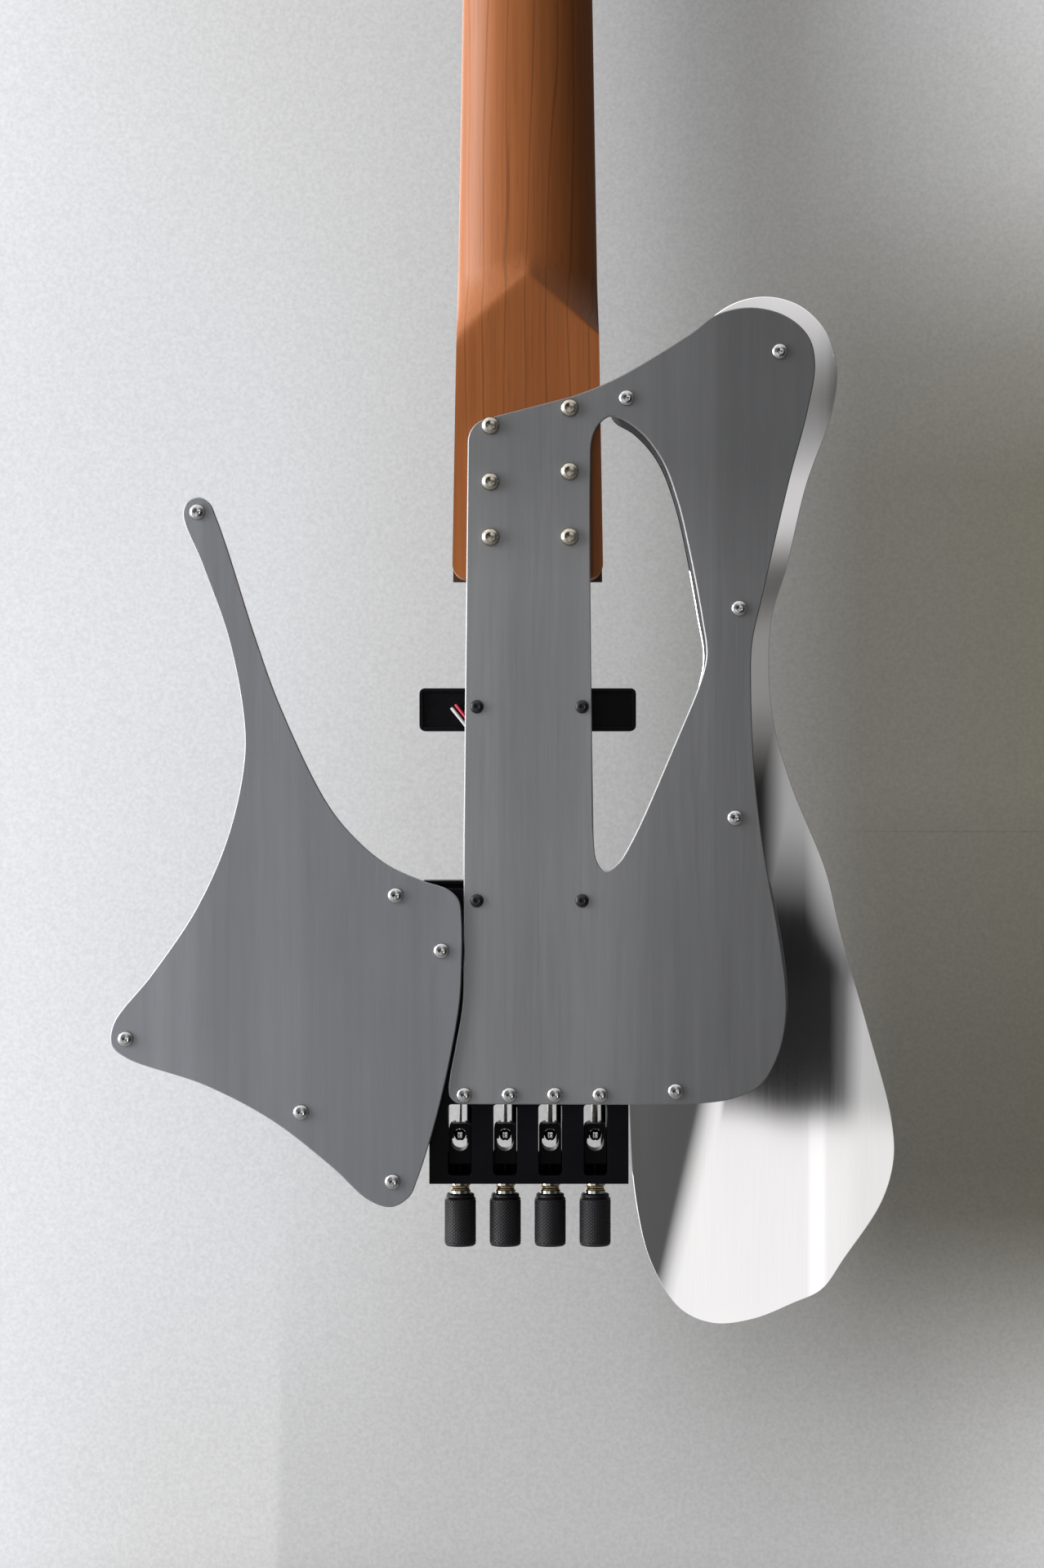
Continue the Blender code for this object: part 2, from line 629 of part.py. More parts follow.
def make_back_plate():
    m3, m5 = M3_RADIUS + HOLE_CLEARANCE, M5_RADIUS + HOLE_CLEARANCE
    loops = [outline(BACK_PLATE), outline(TEARDROP)]
    loops += [circle(place, m5) for place in NECK_SCREWS]
    loops += [circle(place, m3) for place in BODY_STANDOFFS]
    loops += [circle(place, m3) for place in bridge_screw_places()]
    loops += [circle(place, m3) for name in PICKUP_HEIGHTS for place in pickup_screw_places(name)]
    plate("back_plate", loops, PLATE_BACK, PLATE_THICKNESS, "brushed_aluminium")


def make_wing():
    m3 = M3_RADIUS + HOLE_CLEARANCE
    back = [outline(WING_HORN + WING_JOINT_EDGE + WING_OUTSIDE)]
    back += [circle(place, m3) for place in (*WING_STANDOFFS, BRACKET_STANDOFF, BRACKET_SCREW)]
    plate("wing_back_plate", back, WING_BACK, WING_PLATE_THICKNESS, "brushed_aluminium")
    front = [outline(WING_HORN + WING_FRONT_EDGE + WING_OUTSIDE, inset=WING_FRONT_INSET)]
    front += [circle(place, m3) for place in (*WING_STANDOFFS, BRACKET_STANDOFF)]
    front += [circle(place, BUSHING_RADIUS + HOLE_CLEARANCE, 12) for place in (VOLUME_PLACE, TONE_PLACE)]
    front += [circle(JACK_PLACE, JACK_BODY_RADIUS + HOLE_CLEARANCE, 12)]
    plate("wing_front_plate", front, WING_FRONT_BACK, WING_FRONT_THICKNESS, "brushed_aluminium")
    bracket = [outline(BRACKET)]
    bracket += [circle(place, m3) for place in (BRACKET_STANDOFF, BRACKET_SCREW, *pickup_screw_places("bridge"))]
    plate("wing_bracket", bracket, BRACKET_BACK, BRACKET_THICKNESS, "brushed_aluminium")


def sheet_rise(x, height):
    """How far the front sheet comes back towards the plate: a slow roll, then a steeper fold at its edge."""
    past_roll = (x - ROLL_FOOT[0] - (height - ROLL_FOOT[1]) * ROLL_LEAN) / math.hypot(1.0, ROLL_LEAN)
    rise = 0.0
    for past, width, slope in ((past_roll, ROLL_WIDTH, ROLL_SLOPE), (x - FOLD_X, FOLD_WIDTH, FOLD_SLOPE)):
        if past > 0.0:
            bend = min(past, width)
            rise += slope * (bend * bend / (2 * width) + max(past - width, 0.0))
    return rise


def make_front_sheet():
    """The outer half of the body, cut flat, then creased along two bend lines and thickened."""
    m3 = M3_RADIUS + HOLE_CLEARANCE
    loops = [outline(FRONT_SHEET)] + [circle(place, m3) for place in BODY_STANDOFFS]
    flat = as_mesh(flat_curve("front_sheet", loops, 0.0, "polished_aluminium"))
    shape = bmesh.new()
    shape.from_mesh(flat.data)
    lean = (1.0, -ROLL_LEAN, 0.0)
    creases = [(ROLL_FOOT[0] + share * ROLL_WIDTH, ROLL_FOOT[1], lean) for share in (0.0, 0.33, 0.67, 1.0)]
    creases += [(FOLD_X + share * FOLD_WIDTH, 0.0, (1.0, 0.0, 0.0)) for share in (0.0, 0.33, 0.67, 1.0)]
    for x, height, normal in creases:
        bmesh.ops.bisect_plane(
            shape, geom=[*shape.verts, *shape.edges, *shape.faces],
            plane_co=(x * METRES, z_at(height) * METRES, 0.0), plane_no=normal,
        )
    for vert in shape.verts:
        x, z = vert.co.x / METRES, vert.co.y / METRES
        vert.co.z = sheet_rise(x, z + TOP_HEIGHT) * METRES
    bmesh.ops.triangulate(shape, faces=[face for face in shape.faces if len(face.verts) > 3])
    bmesh.ops.recalc_face_normals(shape, faces=shape.faces)
    shape.to_mesh(flat.data)
    shape.free()
    flat.location.y = SHEET_BACK * METRES
    wall = flat.modifiers.new("wall", "SOLIDIFY")
    wall.thickness = SHEET_THICKNESS * METRES
    wall.offset = -1.0 if flat.data.polygons[0].normal.z > 0 else 1.0
    wall.use_even_offset = False


def bridge_screw_places():
    return [(x + BRIDGE_SCREW_OFFSET, BRIDGE_SCREW_HEIGHT) for x in STRING_X.values()]


def pickup_screw_places(name):
    along, up = PICKUP_SCREW_SHIFT
    return [(side * PICKUP_SCREW_SPREAD + along, PICKUP_HEIGHTS[name] + up) for side in (-1, 1)]


def make_fasteners():
    chrome = (BUTTON_RADIUS, BUTTON_HEIGHT)
    nickel = (NECK_BUTTON_RADIUS, NECK_BUTTON_HEIGHT)
    black = (BLACK_BUTTON_RADIUS, BLACK_BUTTON_HEIGHT)
    behind_plate = PLATE_BACK - SEAT_GAP
    behind_wing = WING_BACK - SEAT_GAP
    for i, place in enumerate(NECK_SCREWS, 1):
        stages = [(-HEEL_DEPTH + NECK_SCREW_DEPTH, behind_plate, M5_RADIUS)]
        stacked(f"neck_screw_{i}", place, stages, "nickel", back_head=nickel)
    for i, place in enumerate(BODY_STANDOFFS, 1):
        stages = [
            (SHEET_BACK + SHEET_THICKNESS + SEAT_GAP, SHEET_BACK - SEAT_GAP, M3_RADIUS),
            (SHEET_BACK - SEAT_GAP, PLATE_FRONT + SEAT_GAP, STANDOFF_RADIUS),
            (PLATE_FRONT + SEAT_GAP, behind_plate, M3_RADIUS),
        ]
        stacked(f"body_standoff_{i}", place, stages, "chrome", front_head=chrome, back_head=chrome)
    wing_front_stages = [(WING_FRONT + SEAT_GAP, WING_FRONT_BACK - SEAT_GAP, M3_RADIUS)]
    for i, place in enumerate(WING_STANDOFFS, 1):
        stages = wing_front_stages + [
            (WING_FRONT_BACK - SEAT_GAP, WING_FRONT_OF_BACK + SEAT_GAP, STANDOFF_RADIUS),
            (WING_FRONT_OF_BACK + SEAT_GAP, behind_wing, M3_RADIUS),
        ]
        stacked(f"wing_standoff_{i}", place, stages, "chrome", front_head=chrome, back_head=chrome)
    through_bracket = [
        (BRACKET_FRONT + SEAT_GAP, BRACKET_BACK - SEAT_GAP, M3_RADIUS),
        (BRACKET_BACK - SEAT_GAP, WING_FRONT_OF_BACK + SEAT_GAP, SPACER_RADIUS),
        (WING_FRONT_OF_BACK + SEAT_GAP, behind_wing, M3_RADIUS),
    ]
    stages = wing_front_stages + [(WING_FRONT_BACK - SEAT_GAP, BRACKET_FRONT + SEAT_GAP, STANDOFF_RADIUS)]
    stacked("bracket_standoff", BRACKET_STANDOFF, stages + through_bracket, "chrome",
            front_head=chrome, back_head=chrome)
    nut = [(BRACKET_FRONT + SEAT_GAP + 2.4, BRACKET_FRONT + SEAT_GAP, STANDOFF_RADIUS)]
    stacked("bracket_screw", BRACKET_SCREW, nut + through_bracket, "chrome", back_head=chrome)
    for i, place in enumerate(bridge_screw_places(), 1):
        stages = [(BLOCK_BACK + BRIDGE_SCREW_DEPTH, behind_plate, M3_RADIUS)]
        stacked(f"bridge_screw_{i}", place, stages, "chrome", back_head=chrome)
    places = pickup_screw_places("neck") + pickup_screw_places("bridge")
    under_sleeves = [PLATE_FRONT] * 2 + [BRACKET_FRONT] * 2
    for i, (place, under_sleeve) in enumerate(zip(places, under_sleeves), 1):
        sleeve_back = under_sleeve + SEAT_GAP
        stages = [
            (PICKUP_BACK + PICKUP_POCKET + PICKUP_SCREW_BITE, PICKUP_BACK - SEAT_GAP, M3_RADIUS),
            (PICKUP_BACK - SEAT_GAP, sleeve_back, STANDOFF_RADIUS - 0.5),
            (sleeve_back, behind_plate, M3_RADIUS),
        ]
        stacked(f"pickup_screw_{i}", place, stages, "black_steel", back_head=black)


def make_pickups():
    """Two slim bars with rounded corners, each hollowed a little behind, inside its rim."""
    half, tall = PICKUP_LENGTH / 2, PICKUP_WIDTH / 2
    for name, height in PICKUP_HEIGHTS.items():
        corners = [(-half, height + tall), (half, height + tall), (half, height - tall), (-half, height - tall)]
        loop = outline([(*corner, PICKUP_CORNER) for corner in corners])
        pickup = as_mesh(plate(f"pickup_{name}", [loop], PICKUP_BACK, PICKUP_DEPTH, "black_plastic"))
        cut(pickup, box(f"pickup_pocket_{name}",
                        (PICKUP_RIM - half, PICKUP_BACK - 1.0, z_at(height - tall + PICKUP_RIM)),
                        (half - PICKUP_RIM, PICKUP_BACK + PICKUP_POCKET, z_at(height + tall - PICKUP_RIM)),
                        collection=CUTTERS))
        for i, (x, screw_height) in enumerate(pickup_screw_places(name)):
            cut(pickup, rod(f"pickup_hole_{name}_{i}", (x, PICKUP_BACK, z_at(screw_height)), "Y",
                            PICKUP_POCKET + PICKUP_SCREW_BITE + 1.0, M3_RADIUS + HOLE_CLEARANCE, sides=10))


def make_bridge_block():
    """One block with a shelf on the neck's side that carries the saddles, and four channels from behind. Each
    channel is open to the strings' side above its lower part, where a cover carries the intonation screw."""
    left, right = BLOCK_X - BLOCK_WIDTH / 2, BLOCK_X + BLOCK_WIDTH / 2
    block = box("bridge_block", (left, BLOCK_BACK, z_at(BLOCK_BOTTOM)), (right, BLOCK_FRONT, z_at(BLOCK_TOP)),
                "black_anodised")
    cut(block, box("shelf_join", (left, BRACKET_FRONT + SEAT_GAP, z_at(BLOCK_TOP - 6.0)),
                   (right, SHELF_FRONT, z_at(SHELF_TOP)), collection=CUTTERS), "UNION")
    half = CHANNEL_WIDTH / 2
    floor = BLOCK_BOTTOM + END_WALL
    for name in STRING_NAMES:
        x = STRING_X[name]
        for kind, bottom, front in (("channel", floor, CARRIAGE_FRONT + SEAT_GAP), ("slot", SLOT_BOTTOM, CUT_REACH)):
            corners = [(x - half, SLOT_TOP), (x + half, SLOT_TOP), (x + half, bottom), (x - half, bottom)]
            loop = outline([(*corner, CHANNEL_CORNER) for corner in corners])
            opened = flat_curve(f"{kind}_{name}", [loop], 2 * CUT_REACH, collection=CUTTERS)
            opened.location.y = (front - CUT_REACH) * METRES
            cut(block, as_mesh(opened))
        cut(block, box(f"groove_{name}", (x - half, GROOVE_FLOOR, z_at(SLOT_TOP - CHANNEL_CORNER * 2)),
                       (x + half, BLOCK_FRONT + 1.0, z_at(BLOCK_TOP + 1.0)), collection=CUTTERS))
        cut(block, rod(f"rod_hole_{name}", (x, TUNER_Y, z_at(BLOCK_BOTTOM) - 1.0), "Z", END_WALL + 3.0,
                       PULL_ROD_RADIUS + ROD_CLEARANCE, sides=12))
        cut(block, rod(f"intonation_hole_{name}", (x + INTONATION_OFFSET, INTONATION_Y, z_at(BLOCK_BOTTOM) - 1.0),
                       "Z", SLOT_BOTTOM - BLOCK_BOTTOM + 1.3, INTONATION_BORE, sides=8))
    for i, (x, height) in enumerate(bridge_screw_places(), 1):
        cut(block, rod(f"bridge_screw_cutter_{i}", (x, BLOCK_BACK - 1.0, z_at(height)), "Y",
                       BRIDGE_SCREW_DEPTH + 1.0 + SEAT_GAP, M3_RADIUS + HOLE_CLEARANCE, sides=10))


def make_saddles():
    """A small block for each string, with a narrow crest, bored for its intonation screw."""
    seat = SHELF_FRONT + SEAT_GAP
    crest = STRING_FLOOR_AT_SADDLE - SEAT_GAP
    side = [
        (seat, -SADDLE_BEHIND), (SADDLE_SHOULDER, -SADDLE_BEHIND), (crest, SADDLE_CREST[0]),
        (crest, SADDLE_CREST[1]), (SADDLE_SHOULDER, SADDLE_AHEAD), (seat, SADDLE_AHEAD),
    ]
    for name in STRING_NAMES:
        x = STRING_X[name]
        rings = [[(x + half, y, z_at(height)) for y, height in side] for half in
                 (-SADDLE_WIDTH / 2, SADDLE_WIDTH / 2)]
        saddle = lofted(f"saddle_{name}", rings, "black_anodised")
        cut(saddle, rod(f"saddle_bore_{name}",
                        (x + INTONATION_OFFSET, INTONATION_Y, z_at(-SADDLE_BEHIND) - 1.0), "Z",
                        SADDLE_BEHIND + SADDLE_AHEAD + 2.0, INTONATION_BORE, sides=8))


def make_carriages():
    """The sliding block that holds a string's ball end in a seat above its hole, with its threaded tail."""
    half, hole_half = (CHANNEL_WIDTH - 2 * SEAT_GAP) / 2, BALL_HOLE_WIDTH / 2
    low = CARRIAGE_TOP - CARRIAGE_LENGTH
    hole_top = CARRIAGE_TOP - BALL_HOLE_DROP
    for name in STRING_NAMES:
        x = STRING_X[name]
        corners = [
            (x - half, CARRIAGE_TOP, CARRIAGE_CORNER), (x + half, CARRIAGE_TOP, CARRIAGE_CORNER),
            (x + half, low, 0.5), (x - half, low, 0.5),
        ]
        hole = [
            (x - hole_half, hole_top, BALL_HOLE_CORNERS[0]), (x + hole_half, hole_top, BALL_HOLE_CORNERS[0]),
            (x + hole_half, hole_top - BALL_HOLE_LENGTH, BALL_HOLE_CORNERS[1]),
            (x - hole_half, hole_top - BALL_HOLE_LENGTH, BALL_HOLE_CORNERS[1]),
        ]
        loops = [outline(corners), outline(hole)]
        carriage = as_mesh(plate(f"carriage_{name}", loops, CARRIAGE_BACK, CARRIAGE_FRONT - CARRIAGE_BACK,
                                 "black_anodised"))
        cut(carriage, rod(f"pull_rod_{name}", (x, TUNER_Y, z_at(low) - PULL_ROD_LENGTH), "Z",
                          PULL_ROD_LENGTH + 2.0, PULL_ROD_RADIUS, sides=12), "UNION")
        cut(carriage, rod(f"ball_seat_{name}", (x, CARRIAGE_BACK - 1.0, z_at(hole_top + BALL_SEAT_RISE)), "Y",
                          BALL_SEAT_FRONT - CARRIAGE_BACK + 1.0, BALL_SEAT_RADIUS, sides=14))
        cut(carriage, box(f"string_slot_{name}",
                          (x - STRING_SLOT_WIDTH / 2, CARRIAGE_FRONT - STRING_SLOT_DEPTH, z_at(hole_top - 1.0)),
                          (x + STRING_SLOT_WIDTH / 2, CARRIAGE_FRONT + 1.0, z_at(CARRIAGE_TOP) + 1.0),
                          collection=CUTTERS))


def make_tuner_knobs():
    """A knurled knob with a bearing collar, threaded on the carriage's tail."""
    bore = PULL_ROD_RADIUS + ROD_CLEARANCE
    shoulder = -COLLAR_LENGTH
    end = shoulder - KNOB_LENGTH
    profile = [
        (bore, 0.0), (COLLAR_RADIUS, 0.0), (COLLAR_RADIUS, shoulder), (KNOB_STEP_RADIUS, shoulder),
        (KNOB_STEP_RADIUS, shoulder - KNOB_STEP), (KNOB_RADIUS, shoulder - KNOB_STEP - KNOB_CHAMFER),
        (KNOB_RADIUS, end + KNOB_CHAMFER), (KNOB_RADIUS - KNOB_CHAMFER, end), (0.0, end),
    ]
    profile = [(0.0, end + KNOB_FLOOR), (bore, end + KNOB_FLOOR)] + profile
    for name in STRING_NAMES:
        turned(f"tuner_knob_{name}", profile, "black_anodised",
               (STRING_X[name], TUNER_Y, z_at(BLOCK_BOTTOM) - SEAT_GAP), steps=16)


def make_controls():
    """Volume and tone pots with their knobs, and the output jack, all on the wing's front plate."""
    nut_top = WING_FRONT + SEAT_GAP + BUSHING_NUT_HEIGHT
    body_front = WING_FRONT_BACK - SEAT_GAP
    bore = SHAFT_RADIUS + ROD_CLEARANCE
    pot = [
        (bore, body_front - POT_DEPTH + 2.0), (bore, nut_top), (BUSHING_NUT_RADIUS, nut_top),
        (BUSHING_NUT_RADIUS, WING_FRONT + SEAT_GAP), (BUSHING_RADIUS, WING_FRONT + SEAT_GAP),
        (BUSHING_RADIUS, body_front), (POT_RADIUS, body_front), (POT_RADIUS, body_front - POT_DEPTH),
        (0.0, body_front - POT_DEPTH),
    ]
    pot = [(0.0, body_front - POT_DEPTH + 2.0)] + pot
    skirt = nut_top + 0.5
    top = skirt + CONTROL_KNOB_HEIGHT
    knob = [
        (0.0, top), (CONTROL_KNOB_RADIUS - 1.0, top), (CONTROL_KNOB_RADIUS, top - 1.0),
        (CONTROL_KNOB_RADIUS, skirt), (SHAFT_RADIUS, skirt), (SHAFT_RADIUS, body_front - POT_DEPTH + 2.3),
        (0.0, body_front - POT_DEPTH + 2.3),
    ]
    for name, (x, height) in (("volume", VOLUME_PLACE), ("tone", TONE_PLACE)):
        place = (x, 0.0, z_at(height))
        turned(f"{name}_pot", pot, "string_steel", place, direction="Y", steps=14)
        turned(f"{name}_knob", knob, "black_anodised", place, direction="Y", steps=18)
    flange = WING_FRONT + SEAT_GAP + JACK_FLANGE_HEIGHT
    jack_end = flange - JACK_LENGTH
    jack = [
        (0.0, jack_end + 2.0), (JACK_SOCKET_RADIUS, jack_end + 2.0), (JACK_SOCKET_RADIUS, flange),
        (JACK_FLANGE_RADIUS, flange), (JACK_FLANGE_RADIUS, WING_FRONT + SEAT_GAP),
        (JACK_BODY_RADIUS, WING_FRONT + SEAT_GAP), (JACK_BODY_RADIUS, jack_end), (0.0, jack_end),
    ]
    turned("output_jack", jack, "nickel", (JACK_PLACE[0], 0.0, z_at(JACK_PLACE[1])), direction="Y", steps=16)


def lead_route():
    """Route of the leads from the neck pickup, behind the strip, over the bracket and out to the controls."""
    pocket = PICKUP_BACK + PICKUP_POCKET - SEAT_GAP
    over_bracket = BRACKET_FRONT + 2.4
    pot_side = VOLUME_PLACE[0] + POT_RADIUS + WIRE_RADIUS + SEAT_GAP
    pot_level = WING_FRONT_BACK - POT_DEPTH / 2
    pickup_height = PICKUP_HEIGHTS["neck"]
    pot_height = VOLUME_PLACE[1]
    places = (
        (-32.0, pocket - WIRE_RADIUS, pickup_height + 0.6), (-30.0, pocket - 2.4, pickup_height - 1.9),
        (-26.0, pocket - 4.4, pickup_height - 6.9), (-18.0, pocket - 5.0, pickup_height - 18.4),
        (-13.0, pocket - 5.0, pickup_height - 34.4), (-12.0, over_bracket, 98.0),
        (-12.0, over_bracket, 80.0), (-14.0, over_bracket, 64.0), (-22.0, over_bracket, 50.0),
        (-34.0, over_bracket, 40.0), (-48.0, over_bracket + 1.0, pot_height - 10.0),
        (-60.0, over_bracket + 3.0, pot_height - 5.0), (pot_side + 4.0, pot_level - 2.0, pot_height),
        (pot_side, pot_level, pot_height),
    )
    ends = [2 * np.array(places[0]) - places[1], 2 * np.array(places[-1]) - places[-2]]
    points = [ends[0], *(np.array(place) for place in places), ends[1]]
    path = []
    for before, start, end, after in zip(points, points[1:], points[2:], points[3:]):
        path += [start, *smooth_run(before, start, end, after, 2)]
    return np.array([*path, points[-2]])


def make_leads():
    """Two leads that lie side by side all the way."""
    route = lead_route()
    across = np.gradient(route, axis=0)[:, [2, 0]] * (-1.0, 1.0)
    across /= np.linalg.norm(across, axis=1, keepdims=True)
    for name, side, finish in (("lead_white", 0.0, "white_wire"), ("lead_red", LEAD_SPACING, "red_wire")):
        path = route + across[:, [0, 0, 1]] * (side, 0.0, side)
        tube(name, [(x, y, z_at(height)) for x, y, height in path], WIRE_RADIUS, finish, sides=6)


clear_scene()
PARTS = new_collection("bass_guitar")
CUTTERS = new_collection("cutters")
MATERIALS = {name: new_material(name, *values) for name, values in FINISHES.items()}

make_neck()
make_fingerboard()
make_headpiece()
make_strings()
make_back_plate()
make_wing()
make_front_sheet()
make_pickups()
make_bridge_block()
make_saddles()
make_carriages()
make_tuner_knobs()
make_controls()
make_leads()
make_fasteners()
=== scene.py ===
"""Looks of a headless bass guitar with a body of sheet aluminium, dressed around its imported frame.

+Z runs up the neck and +Y points out of the strings' side. Places on the body are given as (x, height) in
millimetres, where height is measured up from the saddle line. Meshes are in metres.
"""

import math

import bmesh
import bpy
import numpy as np
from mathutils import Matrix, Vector
from mathutils.geometry import tessellate_polygon


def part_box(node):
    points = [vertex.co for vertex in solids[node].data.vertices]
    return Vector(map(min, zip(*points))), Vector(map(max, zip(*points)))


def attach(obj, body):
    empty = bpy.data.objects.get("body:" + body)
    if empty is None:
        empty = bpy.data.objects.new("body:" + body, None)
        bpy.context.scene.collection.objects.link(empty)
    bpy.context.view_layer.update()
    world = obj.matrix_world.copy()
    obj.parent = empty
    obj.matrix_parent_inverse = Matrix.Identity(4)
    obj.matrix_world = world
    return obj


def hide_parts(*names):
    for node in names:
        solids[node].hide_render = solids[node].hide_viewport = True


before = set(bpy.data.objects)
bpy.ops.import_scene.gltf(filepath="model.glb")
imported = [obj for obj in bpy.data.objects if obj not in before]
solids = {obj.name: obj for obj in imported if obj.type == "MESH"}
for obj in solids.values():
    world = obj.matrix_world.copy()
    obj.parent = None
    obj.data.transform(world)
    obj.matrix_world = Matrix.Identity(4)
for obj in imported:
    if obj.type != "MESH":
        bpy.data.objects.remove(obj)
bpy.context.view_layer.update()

# The view. The instrument hangs upright, seen straight at its back from 1.4 metres away, with the camera
# level with the space between the two pickups.
camera_data = bpy.data.cameras.new("camera")
camera_data.sensor_fit = "AUTO"
camera_data.sensor_width = 36.0
camera_data.lens = 76.8
camera = bpy.data.objects.new("camera", camera_data)
camera.location = (-0.0024, -1.4225, -0.775)
camera.rotation_euler = (math.pi / 2, 0.0, 0.0)
bpy.context.scene.collection.objects.link(camera)
bpy.context.scene.camera = camera
bpy.context.scene.view_settings.view_transform = "Standard"

# The studio. A pale, finely mottled surround of panels that falls off to the right. Behind the camera is a room
# with a bright floor, a dark band at eye level and paler walls above it, which the polished metal mirrors. A tall
# window lights the left, and another one the strings' side.
world = bpy.data.worlds.new("studio")
bpy.context.scene.world = world
world.use_nodes = True
world.node_tree.nodes.clear()


def node_in(owner, kind, *linked, **inputs):
    """A node of a world or material. Its first inputs are linked to the outputs given, and its named inputs hold
    the values given."""
    node = owner.node_tree.nodes.new(kind)
    for socket, value in inputs.items():
        node.inputs[socket.replace("_", " ")].default_value = value
    for i, output in enumerate(linked):
        owner.node_tree.links.new(output, node.inputs[i])
    return node


def ranged(owner, pattern, low, high, start=0.3, end=0.7):
    """A pattern's values between start and end, stretched to run from low to high."""
    return node_in(owner, "ShaderNodeMapRange", pattern, From_Min=start, From_Max=end, To_Min=low,
                   To_Max=high).outputs["Result"]


def tinted(owner, pattern, *stops):
    """Colours along a pattern, from stops of (place, colour)."""
    node = node_in(owner, "ShaderNodeValToRGB", pattern)
    ramp = node.color_ramp.elements
    ramp[0].position, ramp[-1].position = stops[0][0], stops[-1][0]
    for place, _ in stops[1:-1]:
        ramp.new(place)
    for element, (_, colour) in zip(ramp, stops):
        element.color = (*colour, 1.0)
    return node.outputs["Color"]


def mixed(owner, first, second, share=1.0, kind="MIX"):
    """Two colours mixed by a share, multiplied or added."""
    node = node_in(owner, "ShaderNodeMix")
    node.data_type, node.blend_type = "RGBA", kind
    for socket, value in ((0, share), (6, first), (7, second)):
        if isinstance(value, float):
            node.inputs[socket].default_value = value
        else:
            owner.node_tree.links.new(value, node.inputs[socket])
    return node.outputs[2]


def share_of(direction, start, end):
    """How far a direction has come from start to end, from 0 to 1."""
    return ranged(world, direction, 0.0, 1.0, start, end)


def toned(share, *stops):
    """Greys of the studio along a share, from stops of (place, level) and, where it isn't 0, the warmth."""
    colours = []
    for place, level, *warmth in stops:
        warm = sum(warmth)
        colours.append((place, (level * (1 + warm), level, level * (1 - 3 * warm))))
    return tinted(world, share, *colours)


direction = node_in(world, "ShaderNodeTexCoord").outputs["Generated"]
rightward, onward, upward = node_in(world, "ShaderNodeSeparateXYZ", direction).outputs

# What the metal mirrors. The room behind the camera is built up from the floor to the upper walls.
across_room = share_of(rightward, -0.5, 0.5)
near_floor = toned(across_room, (0.0, 0.80), (0.06, 0.88), (0.14, 0.95), (0.25, 0.99), (0.28, 1.16),
                   (0.355, 1.16), (0.372, 1.02), (0.42, 1.0), (0.46, 0.80), (0.50, 0.42), (0.53, 0.10),
                   (0.62, 0.07, 0.02), (1.0, 0.04, 0.02))
under_eye_level = toned(across_room, (0.0, 0.62), (0.06, 0.58), (0.095, 0.43), (0.16, 0.14), (0.24, 0.02),
                        (1.0, 0.009))
near_eye_level = toned(across_room, (0.0, 0.06), (0.24, 0.014), (1.0, 0.009))
over_eye_level = toned(across_room, (0.0, 0.50), (0.30, 0.48), (0.38, 0.40), (0.46, 0.36), (0.50, 0.33),
                       (0.57, 0.28, 0.01), (0.63, 0.15, 0.02), (1.0, 0.05, 0.02))
upper_room = toned(across_room, (0.0, 0.16, 0.02), (0.25, 0.20, 0.02), (0.35, 0.25, 0.02), (0.42, 0.55),
                   (0.48, 0.66), (0.60, 0.70), (0.70, 0.35), (1.0, 0.10, 0.02))
shelf = toned(share_of(upward, -0.2, 0.2), (0.0, 1.0), (0.61, 1.0), (0.64, 0.4), (0.66, 0.4), (0.69, 1.0),
              (0.73, 1.0), (0.76, 0.50), (0.785, 0.28, 0.02), (0.805, 0.45), (0.83, 0.95), (0.86, 1.2))
lifted = node_in(world, "ShaderNodeMath", upward, ranged(world, rightward, 0.024, 0.0, -0.33, -0.12)).outputs[0]
behind_camera = near_floor
for tones, height, low, high in (
        (under_eye_level, upward, -0.067, -0.0585), (near_eye_level, upward, -0.026, -0.016),
        (over_eye_level, lifted, 0.0, 0.024), (upper_room, upward, 0.062, 0.080)):
    behind_camera = mixed(world, behind_camera, tones, share_of(height, low, high))
around = toned(share_of(rightward, -1.0, 1.0), (0.0, 1.5), (0.25, 1.0), (0.48, 0.24), (0.7, 0.10, 0.02),
               (1.0, 0.16, 0.02))
overhead = toned(share_of(upward, 0.0, 1.0), (0.45, 0.0), (0.85, 1.0))
room = mixed(world, mixed(world, behind_camera, shelf, kind="MULTIPLY"), around, share_of(onward, -0.85, -0.55))
room = mixed(world, room, overhead, kind="ADD")

# What the camera sees behind the instrument: a middle, a foot and a top, with a seam and a shade on the right.
across_view, up_view = share_of(rightward, -0.152, 0.152), share_of(upward, -0.225, 0.225)
backdrop_middle = toned(across_view, (0.0, 0.82, -0.015), (0.25, 0.70, -0.01), (0.40, 0.57), (0.60, 0.43),
                        (0.72, 0.24, 0.01), (0.83, 0.160, 0.04), (1.0, 0.160, 0.06))
backdrop_foot = toned(across_view, (0.0, 0.83, -0.01), (0.16, 0.70), (0.262, 0.65), (0.272, 0.56), (0.42, 0.50),
                      (0.62, 0.48), (0.72, 0.465), (0.88, 0.465), (1.0, 0.58))
backdrop_top = toned(across_view, (0.0, 0.83, -0.01), (0.25, 0.66), (0.52, 0.52), (0.60, 0.40), (0.665, 0.29),
                     (0.72, 0.255, 0.01), (0.76, 0.265, 0.01), (0.85, 0.38), (1.0, 0.57))
foot_share = toned(up_view, (0.0, 1.0), (0.08, 0.74), (0.14, 0.37), (0.22, 0.0))
top_share = toned(up_view, (0.70, 0.0), (0.78, 0.16), (0.84, 0.42), (0.90, 0.72), (1.0, 1.0))
backdrop = mixed(world, mixed(world, backdrop_middle, backdrop_foot, foot_share), backdrop_top, top_share)
mottle = node_in(world, "ShaderNodeTexNoise", direction, Scale=900.0, Detail=2.0, Roughness=0.6)
